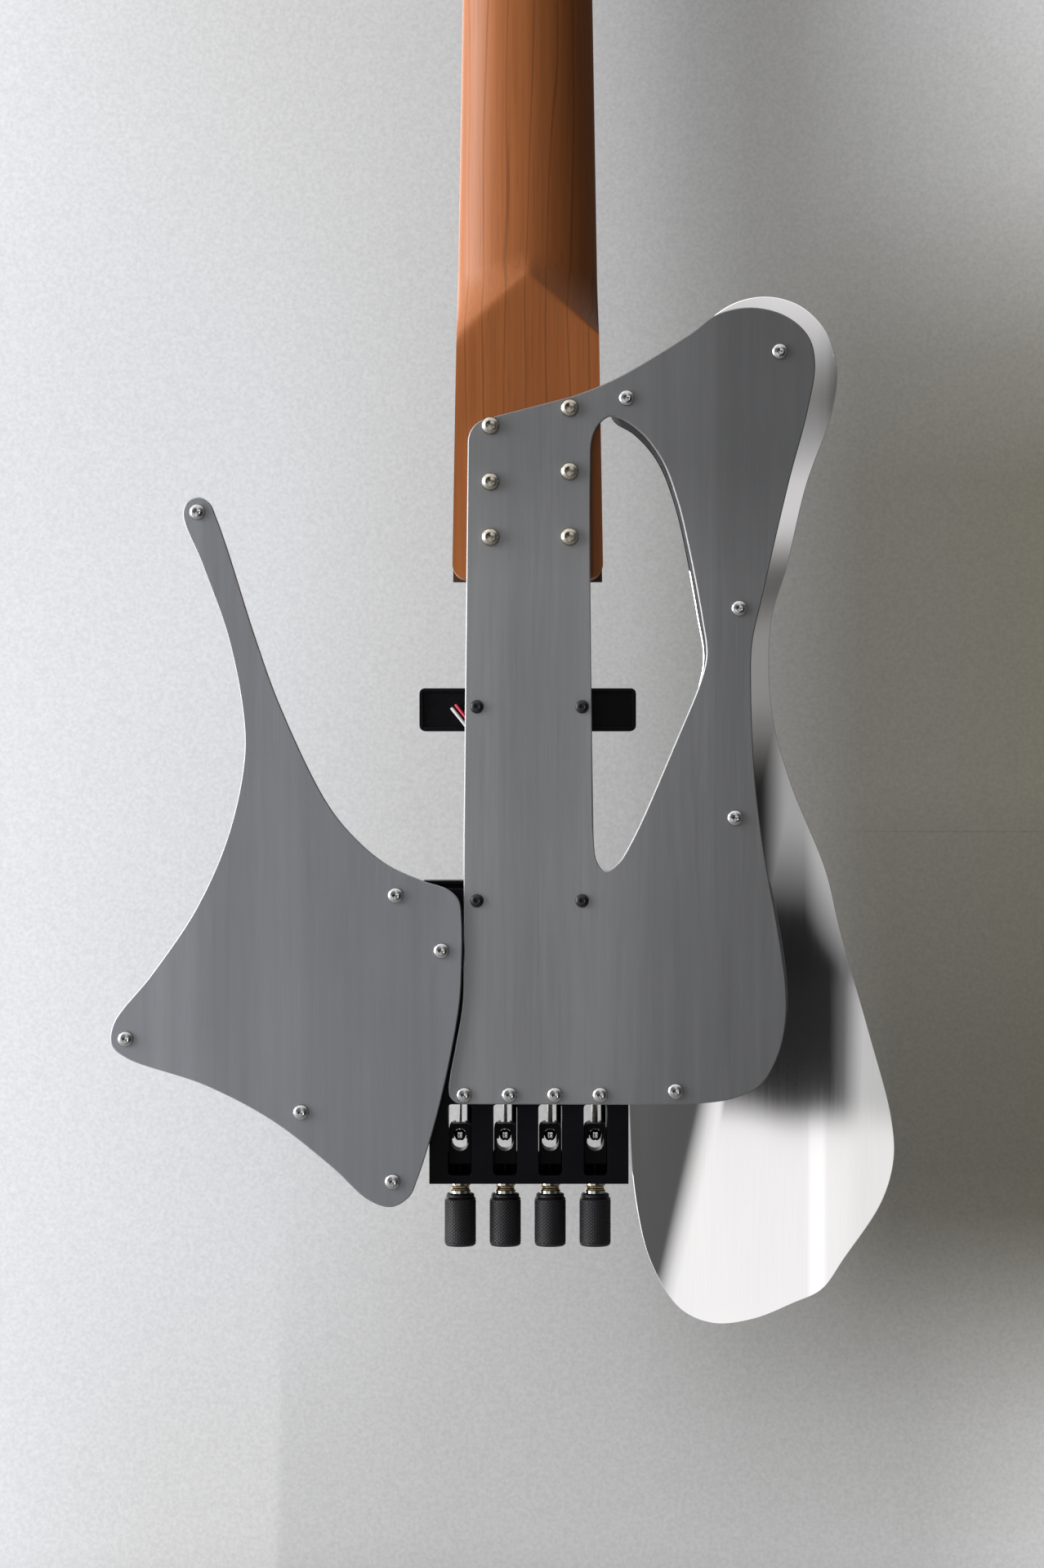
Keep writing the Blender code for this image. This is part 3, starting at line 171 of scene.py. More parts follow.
clouding = node_in(world, "ShaderNodeTexNoise", direction, Scale=5.0, Detail=1.0)
for pattern, low, high in ((mottle, 0.93, 1.07), (clouding, 0.97, 1.03)):
    backdrop = mixed(world, backdrop, ranged(world, pattern.outputs["Fac"], low, high), kind="MULTIPLY")
seam = toned(share_of(upward, -0.0151, -0.0131), (0.0, 1.0), (0.32, 1.0), (0.5, 0.84), (0.68, 1.0), (1.0, 1.0))
shaded = toned(share_of(upward, -0.16, 0.0), (0.0, 1.0), (0.15, 0.80), (0.30, 0.68), (0.50, 0.72), (0.90, 0.90),
               (1.0, 1.0))
for tones in (seam, shaded):
    backdrop = mixed(world, backdrop, tones, share_of(rightward, 0.085, 0.11), "MULTIPLY")

# The camera gets the backdrop, metal and glass the room, and all else an even light that is stronger on the left.
path = node_in(world, "ShaderNodeLightPath")
for_light = node_in(world, "ShaderNodeBackground", Color=(1.0, 0.99, 0.98, 1.0))
world.node_tree.links.new(ranged(world, rightward, 0.46, 0.01, -0.95, 0.0), for_light.inputs["Strength"])
mirrored = node_in(world, "ShaderNodeMath", path.outputs["Is Glossy Ray"], path.outputs["Is Transmission Ray"])
light_or_metal = node_in(world, "ShaderNodeMixShader", mirrored.outputs[0], for_light.outputs[0],
                         node_in(world, "ShaderNodeBackground", room).outputs[0])
all_rays = node_in(world, "ShaderNodeMixShader", path.outputs["Is Camera Ray"], light_or_metal.outputs[0],
                   node_in(world, "ShaderNodeBackground", backdrop).outputs[0])
node_in(world, "ShaderNodeOutputWorld", all_rays.outputs[0])


def softbox(name, place, aim, width, height, radiance):
    """A flat lamp of even brightness. Its power is its radiance times its area times pi."""
    lamp = bpy.data.lights.new(name, "AREA")
    lamp.shape = "RECTANGLE"
    lamp.size, lamp.size_y = width, height
    lamp.energy = radiance * width * height * math.pi
    holder = bpy.data.objects.new(name, lamp)
    holder.location = place
    holder.rotation_euler = (Vector(aim) - Vector(place)).to_track_quat("-Z", "Y").to_euler()
    holder.visible_camera = False
    bpy.context.scene.collection.objects.link(holder)


softbox("window_left", (-1.75, -0.55, -0.45), (0.0, 0.0, -0.70), 1.2, 1.6, 7.2)
softbox("window_strings_side", (-0.90, 1.60, -0.10), (0.0, 0.0, -0.55), 1.5, 1.2, 2.4)


def finish(name, colour, roughness, metallic=0.0):
    """A new material whose shader's own sockets hold what is the same all over the surface."""
    material = bpy.data.materials.new(name)
    material.use_nodes = True
    shader = material.node_tree.nodes["Principled BSDF"]
    shader.inputs["Base Color"].default_value = (*colour, 1.0)
    shader.inputs["Roughness"].default_value = roughness
    shader.inputs["Metallic"].default_value = metallic
    return material


def paint(material, **patterns):
    """Links patterns to the shader's sockets. Relief is a (pattern, depth in metres) pair and becomes a bump."""
    shader = material.node_tree.nodes["Principled BSDF"]
    if "relief" in patterns:
        height, depth = patterns.pop("relief")
        bump = node_in(material, "ShaderNodeBump", Distance=depth, Strength=1.0)
        material.node_tree.links.new(height, bump.inputs["Height"])
        material.node_tree.links.new(bump.outputs["Normal"], shader.inputs["Normal"])
    for socket, pattern in patterns.items():
        material.node_tree.links.new(pattern, shader.inputs[socket.replace("_", " ").title()])


def object_places(material):
    """Object coordinates, which are metres here."""
    return node_in(material, "ShaderNodeTexCoord").outputs["Object"]


def full_turn(count):
    """Angles that go once round in even steps."""
    return np.arange(count) * 2 * math.pi / count


FLOOR_Z, FLOOR_RADIUS, FADE_FROM, FADE_TO = -1.5, 1.9, 1.0, 1.85
rim = full_turn(96)
floor_mesh = bpy.data.meshes.new("floor")
floor_mesh.from_pydata(
    np.stack([FLOOR_RADIUS * np.cos(rim), FLOOR_RADIUS * np.sin(rim), 0 * rim + FLOOR_Z], 1).tolist(),
    [], [list(range(len(rim)))])
floor = bpy.data.objects.new("floor", floor_mesh)
bpy.context.scene.collection.objects.link(floor)
pale_floor = finish("pale_floor", (0.62, 0.62, 0.63), 0.8)
centred = node_in(pale_floor, "ShaderNodeMapping", object_places(pale_floor), Location=(0.0, 0.0, -FLOOR_Z))
from_middle = node_in(pale_floor, "ShaderNodeVectorMath", centred.outputs[0])
from_middle.operation = "LENGTH"
fade = node_in(pale_floor, "ShaderNodeMapRange", from_middle.outputs["Value"], From_Min=FADE_FROM,
               From_Max=FADE_TO, To_Min=1.0, To_Max=0.0)
fade.interpolation_type = "SMOOTHSTEP"
paint(pale_floor, alpha=fade.outputs["Result"])
floor_mesh.materials.append(pale_floor)

# The neck. One board of roasted maple, rounded behind, with a flat heel that is bolted to the back plate and
# a carve that runs up from it to a peak. The depth of the wood follows the same rule as the solid's.
MM = 0.001
TOP_HEIGHT = 896.0
NUT_HEIGHT = 864.0
BOARD_END = 207.0
NUT_WIDTH, BOARD_END_WIDTH = 41.0, 63.4
NECK_DEPTH_AT_NUT, NECK_DEPTH_AT_HEEL, NECK_EDGE, NECK_ROUNDNESS = 14.8, 16.6, 1.8, 1.9
HEEL_DEPTH, HEEL_TOP, HEEL_PEAK_RISE, HEEL_CORNER, FINE_ROWS_PAST_CREASE = 19.2, 310.0, 26.0, 6.0, 6.0
CARVE_AT_MIDDLE, CARVE_AT_EDGE, CARVE_CURVE = 10.0, 26.0, 1.6
TONGUE_TOP, TONGUE_FRONT, SEAT_GAP = 890.0, -9.3, 0.3


def grain(material, scale, detail=2.0, distortion=0.0, place=(0.0, 0.0, 0.0)):
    """Noise on Object coordinates with its own scale along each axis."""
    stretched = node_in(material, "ShaderNodeMapping", object_places(material), Scale=scale, Location=place)
    noise = node_in(material, "ShaderNodeTexNoise", stretched.outputs[0], Scale=1.0, Detail=detail,
                    Distortion=distortion)
    return noise.outputs["Fac"]


def times(material, colour, *patterns):
    """A colour multiplied by each pattern in turn."""
    for pattern in patterns:
        colour = mixed(material, colour, pattern, kind="MULTIPLY")
    return colour


def grid_faces(rows, columns):
    """Quads between each row of a grid and the next, all the way round, from a row's last point to its first."""
    row, column = np.mgrid[0:rows - 1, 0:columns]
    corner = row * columns + column
    beside = row * columns + (column + 1) % columns
    return np.stack([corner, beside, beside + columns, corner + columns], axis=-1).reshape(-1, 4).tolist()


def lofted(rings):
    """A closed shell through rings of equally many points, shaped (rings, points, 3), with flat ends."""
    count, around = rings.shape[:2]
    ends = [list(range(around)), list(range((count - 1) * around, count * around))]
    return rings.reshape(-1, 3), grid_faces(count, around) + ends


def add_piece(name, shells, material, body="body", stands_for=(), crease=30.0):
    """One object from shells of (points, faces). Points that meet are joined, which closes poles and seams, and
    all faces are turned outwards. Edges that turn by more than the crease angle stay crisp."""
    faces, start = [], 0
    for points, shell_faces in shells:
        faces += [[corner + start for corner in face] for face in shell_faces]
        start += len(points)
    mesh = bpy.data.meshes.new(name)
    mesh.from_pydata(np.concatenate([points for points, _ in shells]).tolist(), [], faces)
    shape = bmesh.new()
    shape.from_mesh(mesh)
    bmesh.ops.remove_doubles(shape, verts=shape.verts, dist=2e-7)
    bmesh.ops.recalc_face_normals(shape, faces=shape.faces)
    shape.to_mesh(mesh)
    shape.free()
    return place_piece(name, mesh, material, body, stands_for, crease)


def place_piece(name, mesh, material, body="body", stands_for=(), crease=30.0):
    """Shades a finished mesh, gives it its material and fixes it to its body. Without a crease angle the mesh
    keeps its own shading."""
    if crease:
        mesh.polygons.foreach_set("use_smooth", np.ones(len(mesh.polygons), bool))
        mesh.set_sharp_from_angle(angle=math.radians(crease))
    mesh.materials.clear()
    mesh.materials.append(material)
    made = bpy.data.objects.new(name, mesh)
    bpy.context.scene.collection.objects.link(made)
    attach(made, body)
    if stands_for:
        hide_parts(*stands_for)
    return made


def board_width(height):
    """Width of neck and fingerboard: it grows evenly from the nut to the end of the board."""
    share = np.clip((NUT_HEIGHT - height) / (NUT_HEIGHT - BOARD_END), 0.0, 1.0)
    return NUT_WIDTH + (BOARD_END_WIDTH - NUT_WIDTH) * share


ACROSS = np.sin(np.linspace(-math.pi / 2, math.pi / 2, 97))
off_middle = np.minimum(np.sqrt(ACROSS ** 2 + 0.003), 1.0)
crease_line = HEEL_TOP + HEEL_PEAK_RISE * (1 - off_middle)
carve_length = CARVE_AT_MIDDLE + (CARVE_AT_EDGE - CARVE_AT_MIDDLE) * off_middle


def neck_rings(heights, narrowing, front):
    """Rings across the neck, from rows of heights. Behind the front level the depth is the edge plus the rest
    times a rounded falloff over the width. Over the carve's length it grows to the heel's depth, by the share of
    the way down raised to the carve's curve. The carve ends on a crease that peaks in the middle. The crease is
    rubbed round, more so to the left, by half the sum of the share left and the root of its square plus a
    little."""
    narrowing, front = (np.array(values, float)[:, None] for values in (narrowing, front))
    half = board_width(heights) / 2 - narrowing
    share = np.clip((NUT_HEIGHT - heights) / (NUT_HEIGHT - HEEL_TOP), 0.0, 1.0)
    deepest = NECK_DEPTH_AT_NUT + (NECK_DEPTH_AT_HEEL - NECK_DEPTH_AT_NUT) * share
    falloff = np.maximum(1 - np.abs(ACROSS) ** NECK_ROUNDNESS, 0.0) ** (1 / NECK_ROUNDNESS)
    rounded = NECK_EDGE + (deepest - NECK_EDGE) * falloff
    left = (heights - crease_line) / carve_length
    left = (left + np.sqrt(left ** 2 + (0.02 + 0.06 * (1 - ACROSS)) ** 2)) / 2
    carved = np.clip(1 - left, 0.0, 1.0) ** CARVE_CURVE
    depth = rounded + (HEEL_DEPTH - rounded) * carved
    x = np.hstack([-half[:, :1], half * ACROSS, half[:, -1:]])
    y = np.hstack([front, np.minimum(-depth, front), front])
    z = np.hstack([heights[:, :1], heights, heights[:, -1:]]) - TOP_HEIGHT
    return np.stack([x, y, z], axis=-1) * MM


def rows_between(upper, lower, count):
    """Rows of heights that run evenly from one line across the neck to another."""
    share = np.linspace(0.0, 1.0, count)[:, None]
    return upper * (1 - share) + lower * share + 0 * ACROSS


corner_turn = np.radians(np.arange(0.0, 91.0, 9.0))
corner_top = BOARD_END + SEAT_GAP + HEEL_CORNER
carve_top = crease_line + carve_length
neck_runs = [
    (rows_between(TONGUE_TOP, NUT_HEIGHT - SEAT_GAP, 3), 0.0, TONGUE_FRONT),
    (rows_between(NUT_HEIGHT - SEAT_GAP - 0.05, carve_top, 30), 0.0, 0.0),
    (rows_between(carve_top, crease_line, 40)[1:], 0.0, 0.0),
    (rows_between(crease_line, HEEL_TOP - FINE_ROWS_PAST_CREASE, 20)[1:], 0.0, 0.0),
    (rows_between(HEEL_TOP - FINE_ROWS_PAST_CREASE, corner_top, 8)[1:-1], 0.0, 0.0),
    (corner_top - HEEL_CORNER * np.sin(corner_turn)[:, None] + 0 * ACROSS,
     HEEL_CORNER * (1 - np.cos(corner_turn)), 0.0),
]
neck_rows = np.concatenate([rows for rows, _, _ in neck_runs])
neck_narrowing, neck_front = (
    np.concatenate([np.broadcast_to(run[i], len(run[0])) for run in neck_runs]) for i in (1, 2))

roasted_maple = finish("roasted_maple", (0.44, 0.14, 0.035), 0.44)
figure = grain(roasted_maple, (36.0, 36.0, 2.6), distortion=0.4)
sides = node_in(roasted_maple, "ShaderNodeSeparateXYZ", object_places(roasted_maple))
phase = node_in(roasted_maple, "ShaderNodeMath",
                ranged(roasted_maple, sides.outputs["X"], -21.0, 21.0, -0.03, 0.03),
                ranged(roasted_maple, figure, 0.0, 15.0, 0.0, 1.0))
rings = node_in(roasted_maple, "ShaderNodeMath", phase.outputs[0])
rings.operation = "SINE"
lines = ranged(roasted_maple, rings.outputs[0], 1.0, 0.66, 0.93, 1.0)
shade = ranged(roasted_maple, rings.outputs[0], 0.97, 1.04, -1.0, 0.93)
pores = ranged(roasted_maple, grain(roasted_maple, (1700.0, 1700.0, 30.0)), 1.0, 0.74, 0.60, 0.74)
fibres = grain(roasted_maple, (700.0, 700.0, 12.0), detail=3.0)
broad = tinted(roasted_maple, grain(roasted_maple, (22.0, 22.0, 2.2)), (0.30, (0.39, 0.118, 0.028)),
               (0.55, (0.49, 0.153, 0.037)), (0.75, (0.57, 0.190, 0.051)))
wood = times(roasted_maple, broad, lines, shade, pores, ranged(roasted_maple, fibres, 0.92, 1.05))
paint(roasted_maple, base_color=wood, roughness=ranged(roasted_maple, fibres, 0.40, 0.52),
      relief=(fibres, 0.00004))
add_piece("maple_neck", [lofted(neck_rings(neck_rows, neck_narrowing, neck_front))], roasted_maple,
          stands_for=["neck"], crease=50.0)

# The truss rod. A steel bar let into the front of the neck, where it works against the strings' pull. The
# fingerboard is glued over it, so none of it shows.


def worn(name, colour, roughness, metallic, scale, low, high, detail=2.0):
    """A finish whose roughness wanders from low to high over noise of one scale along each axis."""
    material = finish(name, colour, roughness, metallic)
    paint(material, roughness=ranged(material, grain(material, scale, detail), low, high))
    return material


rod_steel = worn("rod_steel", (0.50, 0.49, 0.47), 0.35, 1.0, (900.0, 900.0, 30.0), 0.28, 0.45)
solids["truss_rod"].material_slots[0].material = rod_steel

# The fingerboard. Dark rosewood with a rounded top, glued to the neck. Nickel fret wires with domed crowns
# are pressed in at the equal-tempered places, and pearl dots are let in between them.
BOARD_TOP, BOARD_RADIUS, BOARD_EDGE, GLUE_LINE = 6.25, 305.0, 0.5, 0.15
SCALE_LENGTH, FRETS, FRET_HEIGHT, FRET_WIDTH, FRET_SUNK = 864.0, 24, 1.0, 2.4, 0.25
DOTTED_FRETS, DOT_RADIUS, DOT_DEPTH, DOUBLE_DOT_X = (3, 5, 7, 9, 12, 15, 17, 19, 21, 24), 3.0, 1.5, 10.0


def board_top(x):
    """The board's top falls away from the middle by x squared over twice its radius."""
    return BOARD_TOP - x ** 2 / (2 * BOARD_RADIUS)


def board_ring(height):
    """A ring across the board: a flat underside, sides broken by small arcs, and the rounded top."""
    half = board_width(height) / 2
    turn = np.radians([0.0, 30.0, 60.0, 90.0])
    edge = BOARD_EDGE * np.stack([1 - np.cos(turn), np.sin(turn)], axis=1)
    across = np.linspace(-half + BOARD_EDGE, half - BOARD_EDGE, 15)
    top = board_top(across)
    side_top = top[0] - BOARD_EDGE
    left = np.stack([-half + edge[:, 0], side_top + edge[:, 1]], axis=1)
    right = np.stack([half - edge[::-1, 0], side_top + edge[::-1, 1]], axis=1)
    places = np.vstack([[(half, GLUE_LINE), (-half, GLUE_LINE)], left[:-1], np.stack([across, top], axis=1),
                        right[1:]])
    return np.column_stack([places, np.full(len(places), height - TOP_HEIGHT)]) * MM


def fret_wire(height):
    """A fret's crown: a half round over its width, carried across the curve of the board, with sloped ends."""
    across = np.linspace(-1.0, 1.0, 25)[:, None]
    turn = np.linspace(0.0, math.pi, 9)[None, :]
    half = board_width(height) / 2 - 0.2
    rise = FRET_HEIGHT * np.sin(turn) * np.clip((1 - np.abs(across)) * half / 1.2, 0.0, 1.0) ** 0.5
    x = half * across + 0 * turn
    y = board_top(x) - FRET_SUNK + rise
    z = height - TOP_HEIGHT + FRET_WIDTH / 2 * np.cos(turn) + 0 * x
    return lofted(np.stack([x, y, z], axis=-1) * MM)


dark_rosewood = finish("dark_rosewood", (0.05, 0.03, 0.025), 0.42)
veins = grain(dark_rosewood, (260.0, 260.0, 5.0), detail=4.0, distortion=0.4)
open_pores = ranged(dark_rosewood, grain(dark_rosewood, (1900.0, 1900.0, 60.0)), 1.0, 0.35, 0.58, 0.66)
rosewood = tinted(dark_rosewood, veins, (0.30, (0.018, 0.010, 0.008)), (0.55, (0.050, 0.026, 0.018)),
                  (0.75, (0.085, 0.042, 0.026)))
paint(dark_rosewood, base_color=times(dark_rosewood, rosewood, open_pores),
      roughness=ranged(dark_rosewood, veins, 0.36, 0.52), relief=(open_pores, 0.00005))
nickel = worn("bright_nickel", (0.44, 0.41, 0.35), 0.16, 1.0, (700.0, 700.0, 700.0), 0.10, 0.24, 3.0)
pearl = finish("pearl_dots", (0.74, 0.72, 0.66), 0.25)
paint(pearl, base_color=tinted(pearl, grain(pearl, (900.0, 500.0, 700.0), detail=3.0, distortion=1.5),
                               (0.35, (0.62, 0.64, 0.62)), (0.5, (0.80, 0.77, 0.70)), (0.65, (0.70, 0.66, 0.68))))


def turned(profile, place, axis="Y", sides=48):
    """A shell from a profile of (radius, distance, flats) turned about an axis: each radius times the cosine and
    sine of an even run of angles. Where flats are given, the radius is half the width over that many flats."""
    rows = np.array([(*row, 0)[:3] for row in profile], float)
    angles = full_turn(sides)
    radius = np.repeat(rows[:, :1], sides, axis=1)
    for flats in set(rows[:, 2]) - {0.0}:
        from_flat = (angles + math.pi / flats) % (2 * math.pi / flats) - math.pi / flats
        radius[rows[:, 2] == flats] /= np.cos(from_flat)
    return revolved(radius, rows[:, 1], angles, place, axis)


def revolved(radius, distance, angles, place, axis):
    """A shell from a table of radii, one row for each distance along the axis and one column for each angle."""
    u, v = radius * np.cos(angles), radius * np.sin(angles)
    w = np.broadcast_to(np.array(distance, float)[:, None], u.shape)
    points = np.stack({"X": (w, u, v), "Y": (u, w, -v), "Z": (u, v, w)}[axis], axis=-1)
    x, y, height = place
    points = (points + (x, y, height - TOP_HEIGHT)) * MM
    return points.reshape(-1, 3), grid_faces(*radius.shape)


add_piece("rosewood_fingerboard",
          [lofted(np.stack([board_ring(NUT_HEIGHT), board_ring(BOARD_END)]))],
          dark_rosewood, stands_for=["fingerboard"])
fret_heights = SCALE_LENGTH * 2 ** (-np.arange(1, FRETS + 1) / 12)
add_piece("fret_wires", [fret_wire(height) for height in fret_heights], nickel, crease=50.0)
dots = []
for fret in DOTTED_FRETS:
    middle = SCALE_LENGTH * (2 ** (-fret / 12) + 2 ** (-(fret - 1) / 12)) / 2
    for x in ((-DOUBLE_DOT_X, DOUBLE_DOT_X) if fret % 12 == 0 else (0.0,)):
        level = board_top(x)
        dots.append(turned([(0.0, level - DOT_DEPTH), (DOT_RADIUS, level - DOT_DEPTH), (DOT_RADIUS, level - 0.02),
                            (DOT_RADIUS - 0.3, level + 0.05), (0.0, level + 0.06)], (x, 0.0, middle)))
add_piece("fingerboard_dots", dots, pearl)

# The headpiece. A black anodised block screwed over the neck's tongue. Each string ends in a bore of it,
# held by a small clamp screw from the strings' side.
STRING_NAMES = ("g", "d", "a", "e")
STRING_RADII = (0.57, 0.83, 1.08, 1.33)
NUT_X = (-15.0, -5.0, 5.0, 15.0)
STRING_X = (-28.5, -9.5, 9.5, 28.5)
STRING_FLOOR_AT_NUT, STRING_FLOOR_AT_SADDLE = 7.65, 11.15
CLAMP_HEIGHT, CLAMP_RADIUS, CLAMP_SEAT, CLAMP_RISE, CLAMP_SOCKET = 878.0, 1.9, 12.6, 0.5, 1.0


def anodised(name, dark, light, roughness, mirror):
    """Black anodised aluminium, etched matt, with a bare share of the usual mirroring."""
    metal = finish(name, light, roughness)
    metal.node_tree.nodes["Principled BSDF"].inputs["Specular IOR Level"].default_value = mirror
    wear = grain(metal, (60.0, 60.0, 60.0), detail=4.0)
    paint(metal, roughness=ranged(metal, wear, roughness - 0.06, roughness + 0.08),
          base_color=tinted(metal, wear, (0.3, dark), (0.7, light)),
          relief=(grain(metal, (2400.0, 2400.0, 2400.0)), 0.000012))
    return metal


black_anodised = anodised("black_anodised", (0.0035, 0.0035, 0.005), (0.006, 0.006, 0.008), 0.36, 0.10)
black_steel = worn("black_steel", (0.030, 0.030, 0.034), 0.30, 0.6, (900.0, 900.0, 900.0), 0.24, 0.40)


def softened(name, node, width, material, body="body"):
    """A machined piece: the solid with its flat faces made whole and its edges broken by a narrow bevel."""
    mesh = solids[node].data.copy()
    shape = bmesh.new()
    shape.from_mesh(mesh)
    bmesh.ops.remove_doubles(shape, verts=shape.verts, dist=1e-6)
    bmesh.ops.dissolve_limit(shape, angle_limit=math.radians(1.0), verts=shape.verts, edges=shape.edges)
    for face in shape.faces:
        face.smooth = True
    shape.to_mesh(mesh)
    shape.free()
    rough_out = bpy.data.objects.new(name, mesh)
    bpy.context.scene.collection.objects.link(rough_out)
    bevel = rough_out.modifiers.new("edges", "BEVEL")
    bevel.width, bevel.segments, bevel.limit_method = width * MM, 2, "ANGLE"
    bevel.angle_limit = math.radians(40.0)
    rough_out.modifiers.new("normals", "WEIGHTED_NORMAL")
    graph = bpy.context.evaluated_depsgraph_get()
    done = bpy.data.meshes.new_from_object(rough_out.evaluated_get(graph))
    bpy.data.objects.remove(rough_out, do_unlink=True)
    return place_piece(name, done, material, body, [node], crease=None)


softened("headpiece_block", "headpiece", 0.8, black_anodised)


def socket_head(radius, rise, socket, top, facing=1.0):
    """A head's profile from its seat to the bottom of its hex socket: a short straight rim, a dome that follows
    part of an ellipse, then the socket. Top is the seat's level, and facing is the side that the head is on."""
    turn = np.linspace(0.0, math.acos(min(1.25 * socket / radius, 1.0)), 9)
    rim = 0.25 * rise
    dome = [(radius * math.cos(t), top + facing * (rim + (rise - rim) * math.sin(t))) for t in turn]
    lip = top + facing * (rim + (rise - rim) * math.sin(turn[-1]))
    floor_level = lip - facing * 0.62 * rise
    return [(radius, top)] + dome + [(socket, lip - facing * 0.1, 6), (socket, floor_level, 6),
                                     (0.0, floor_level - facing * 0.25)]


clamps = []
for x, radius in zip(NUT_X, STRING_RADII):
    level = STRING_FLOOR_AT_NUT + 2 * radius
    head = socket_head(CLAMP_RADIUS, CLAMP_RISE, CLAMP_SOCKET, CLAMP_SEAT)
    clamps.append(turned([(0.0, level), (CLAMP_RADIUS, level)] + head, (x, 0.0, CLAMP_HEIGHT)))
add_piece("string_clamp_screws", clamps, black_steel)

# The back plate. One sheet of aluminium, 3 mm thick, cut with a tall teardrop window, brushed lengthwise, and
# deburred all round, which leaves a bright line along every edge. The wood, pickups and bridge screw to it.
CHAMFER, M3_HOLE, M5_HOLE = 0.4, 1.85, 2.85
PLATE_LEVELS = (-22.5, -19.5)
BACK_PLATE = (
    (-25.0, 272.0, 10.0), (17.5, 283.0), (31.0, 288.0), (43.0, 294.0), (68.0, 309.5), (79.0, 317.5),
    (93.5, 320.5), (108.0, 317.0), (117.5, 308.5), (120.3, 297.0), (117.0, 276.5), (109.5, 248.0),
    (98.0, 198.5), (94.0, 180.0), (93.5, 160.0), (95.0, 125.0), (98.5, 95.0), (105.3, 56.5),
    (108.0, 36.0), (108.0, 22.0), (105.0, 8.0), (97.5, -5.0), (86.5, -10.5), (75.0, -12.5),
    (43.0, -13.3), (-33.2, -13.0, 5.5), (-33.0, -5.0), (-30.0, 12.0), (-27.3, 28.0), (-26.8, 50.0),
    (-26.8, 100.0),
)
TEARDROP = (
    (35.0, 275.0), (30.0, 271.8), (27.0, 265.5), (26.3, 252.0), (26.2, 211.0), (27.0, 135.0),
    (27.5, 100.0), (29.0, 88.5), (32.5, 84.5), (37.5, 87.5), (44.0, 98.0), (62.5, 140.0),
    (72.5, 164.5), (74.8, 175.0), (73.0, 190.0), (67.3, 220.0), (62.5, 240.0), (56.0, 257.0),
    (46.0, 269.5),
)


def rounded_corner(before, corner, after, radius):
    """The arc that rounds a corner between two straight runs, as nine points."""
    to_before = (before - corner) / np.linalg.norm(before - corner)
    to_after = (after - corner) / np.linalg.norm(after - corner)
    half = math.acos(to_before @ to_after) / 2
    middle = (to_before + to_after) / np.linalg.norm(to_before + to_after)
    centre = corner + middle * radius / math.sin(half)
    start, end = (corner + way * radius / math.tan(half) - centre for way in (to_before, to_after))
    sweep = math.pi - 2 * half
    share = np.linspace(0.0, 1.0, 9)[:, None]
    return centre + (start * np.sin((1 - share) * sweep) + end * np.sin(share * sweep)) / math.sin(sweep)


def smooth_run(before, start, end, after, steps):
    """Points from start towards end on the centripetal spline through the four, without the end itself."""
    knots = np.cumsum([0.0] + [math.sqrt(np.linalg.norm(b - a)) for a, b in
                               ((before, start), (start, end), (end, after))])
    t = np.linspace(knots[1], knots[2], steps + 1)[:-1, None]

    def blend(p, q, low, high):
        return ((high - t) * p + (t - low) * q) / (high - low)

    a, b, c = (blend(p, q, low, high) for p, q, low, high in (
        (before, start, knots[0], knots[1]), (start, end, knots[1], knots[2]), (end, after, knots[2], knots[3])))
    return blend(blend(a, b, knots[0], knots[2]), blend(b, c, knots[1], knots[3]), knots[1], knots[2])


def outline(places, inset=0.0):
    """A closed outline through the places: rounded at those with a radius, and smooth through the rest."""
    points = [np.array(place[:2], float) for place in places]
    radii = [place[2] if len(place) > 2 else 0.0 for place in places]
    count, runs = len(points), []
    for i in range(count):
        after = (i + 1) % count
        if radii[i]:
            runs.append(rounded_corner(points[i - 1], points[i], points[after], radii[i]))
        elif radii[after]:
            runs.append(points[i][None])
        else:
            runs.append(smooth_run(points[i - 1], points[i], points[after], points[(i + 2) % count], 12))
    found = np.concatenate(runs)
    return offset(found, inset) if inset else found


def offset(loop, distance):
    """A loop moved towards the left of its own direction, at right angles to the chord past each point."""
    along = np.roll(loop, -1, axis=0) - np.roll(loop, 1, axis=0)
    along /= np.linalg.norm(along, axis=1, keepdims=True)
    return loop + np.stack([-along[:, 1], along[:, 0]], axis=1) * distance


def middle_of(node):
    """The place, as (x, 0, height), that a solid's own box is centred on."""
    low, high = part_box(node)
    return (low.x + high.x) / 2 / MM, 0.0, (low.z + high.z) / 2 / MM + TOP_HEIGHT


def hole(node, clearance):
    """A round hole where a fastener passes, centred on the fastener's own solid."""
    turns = full_turn(36)
    return np.array(middle_of(node)[::2]) + clearance * np.stack([np.cos(turns), np.sin(turns)], axis=1)


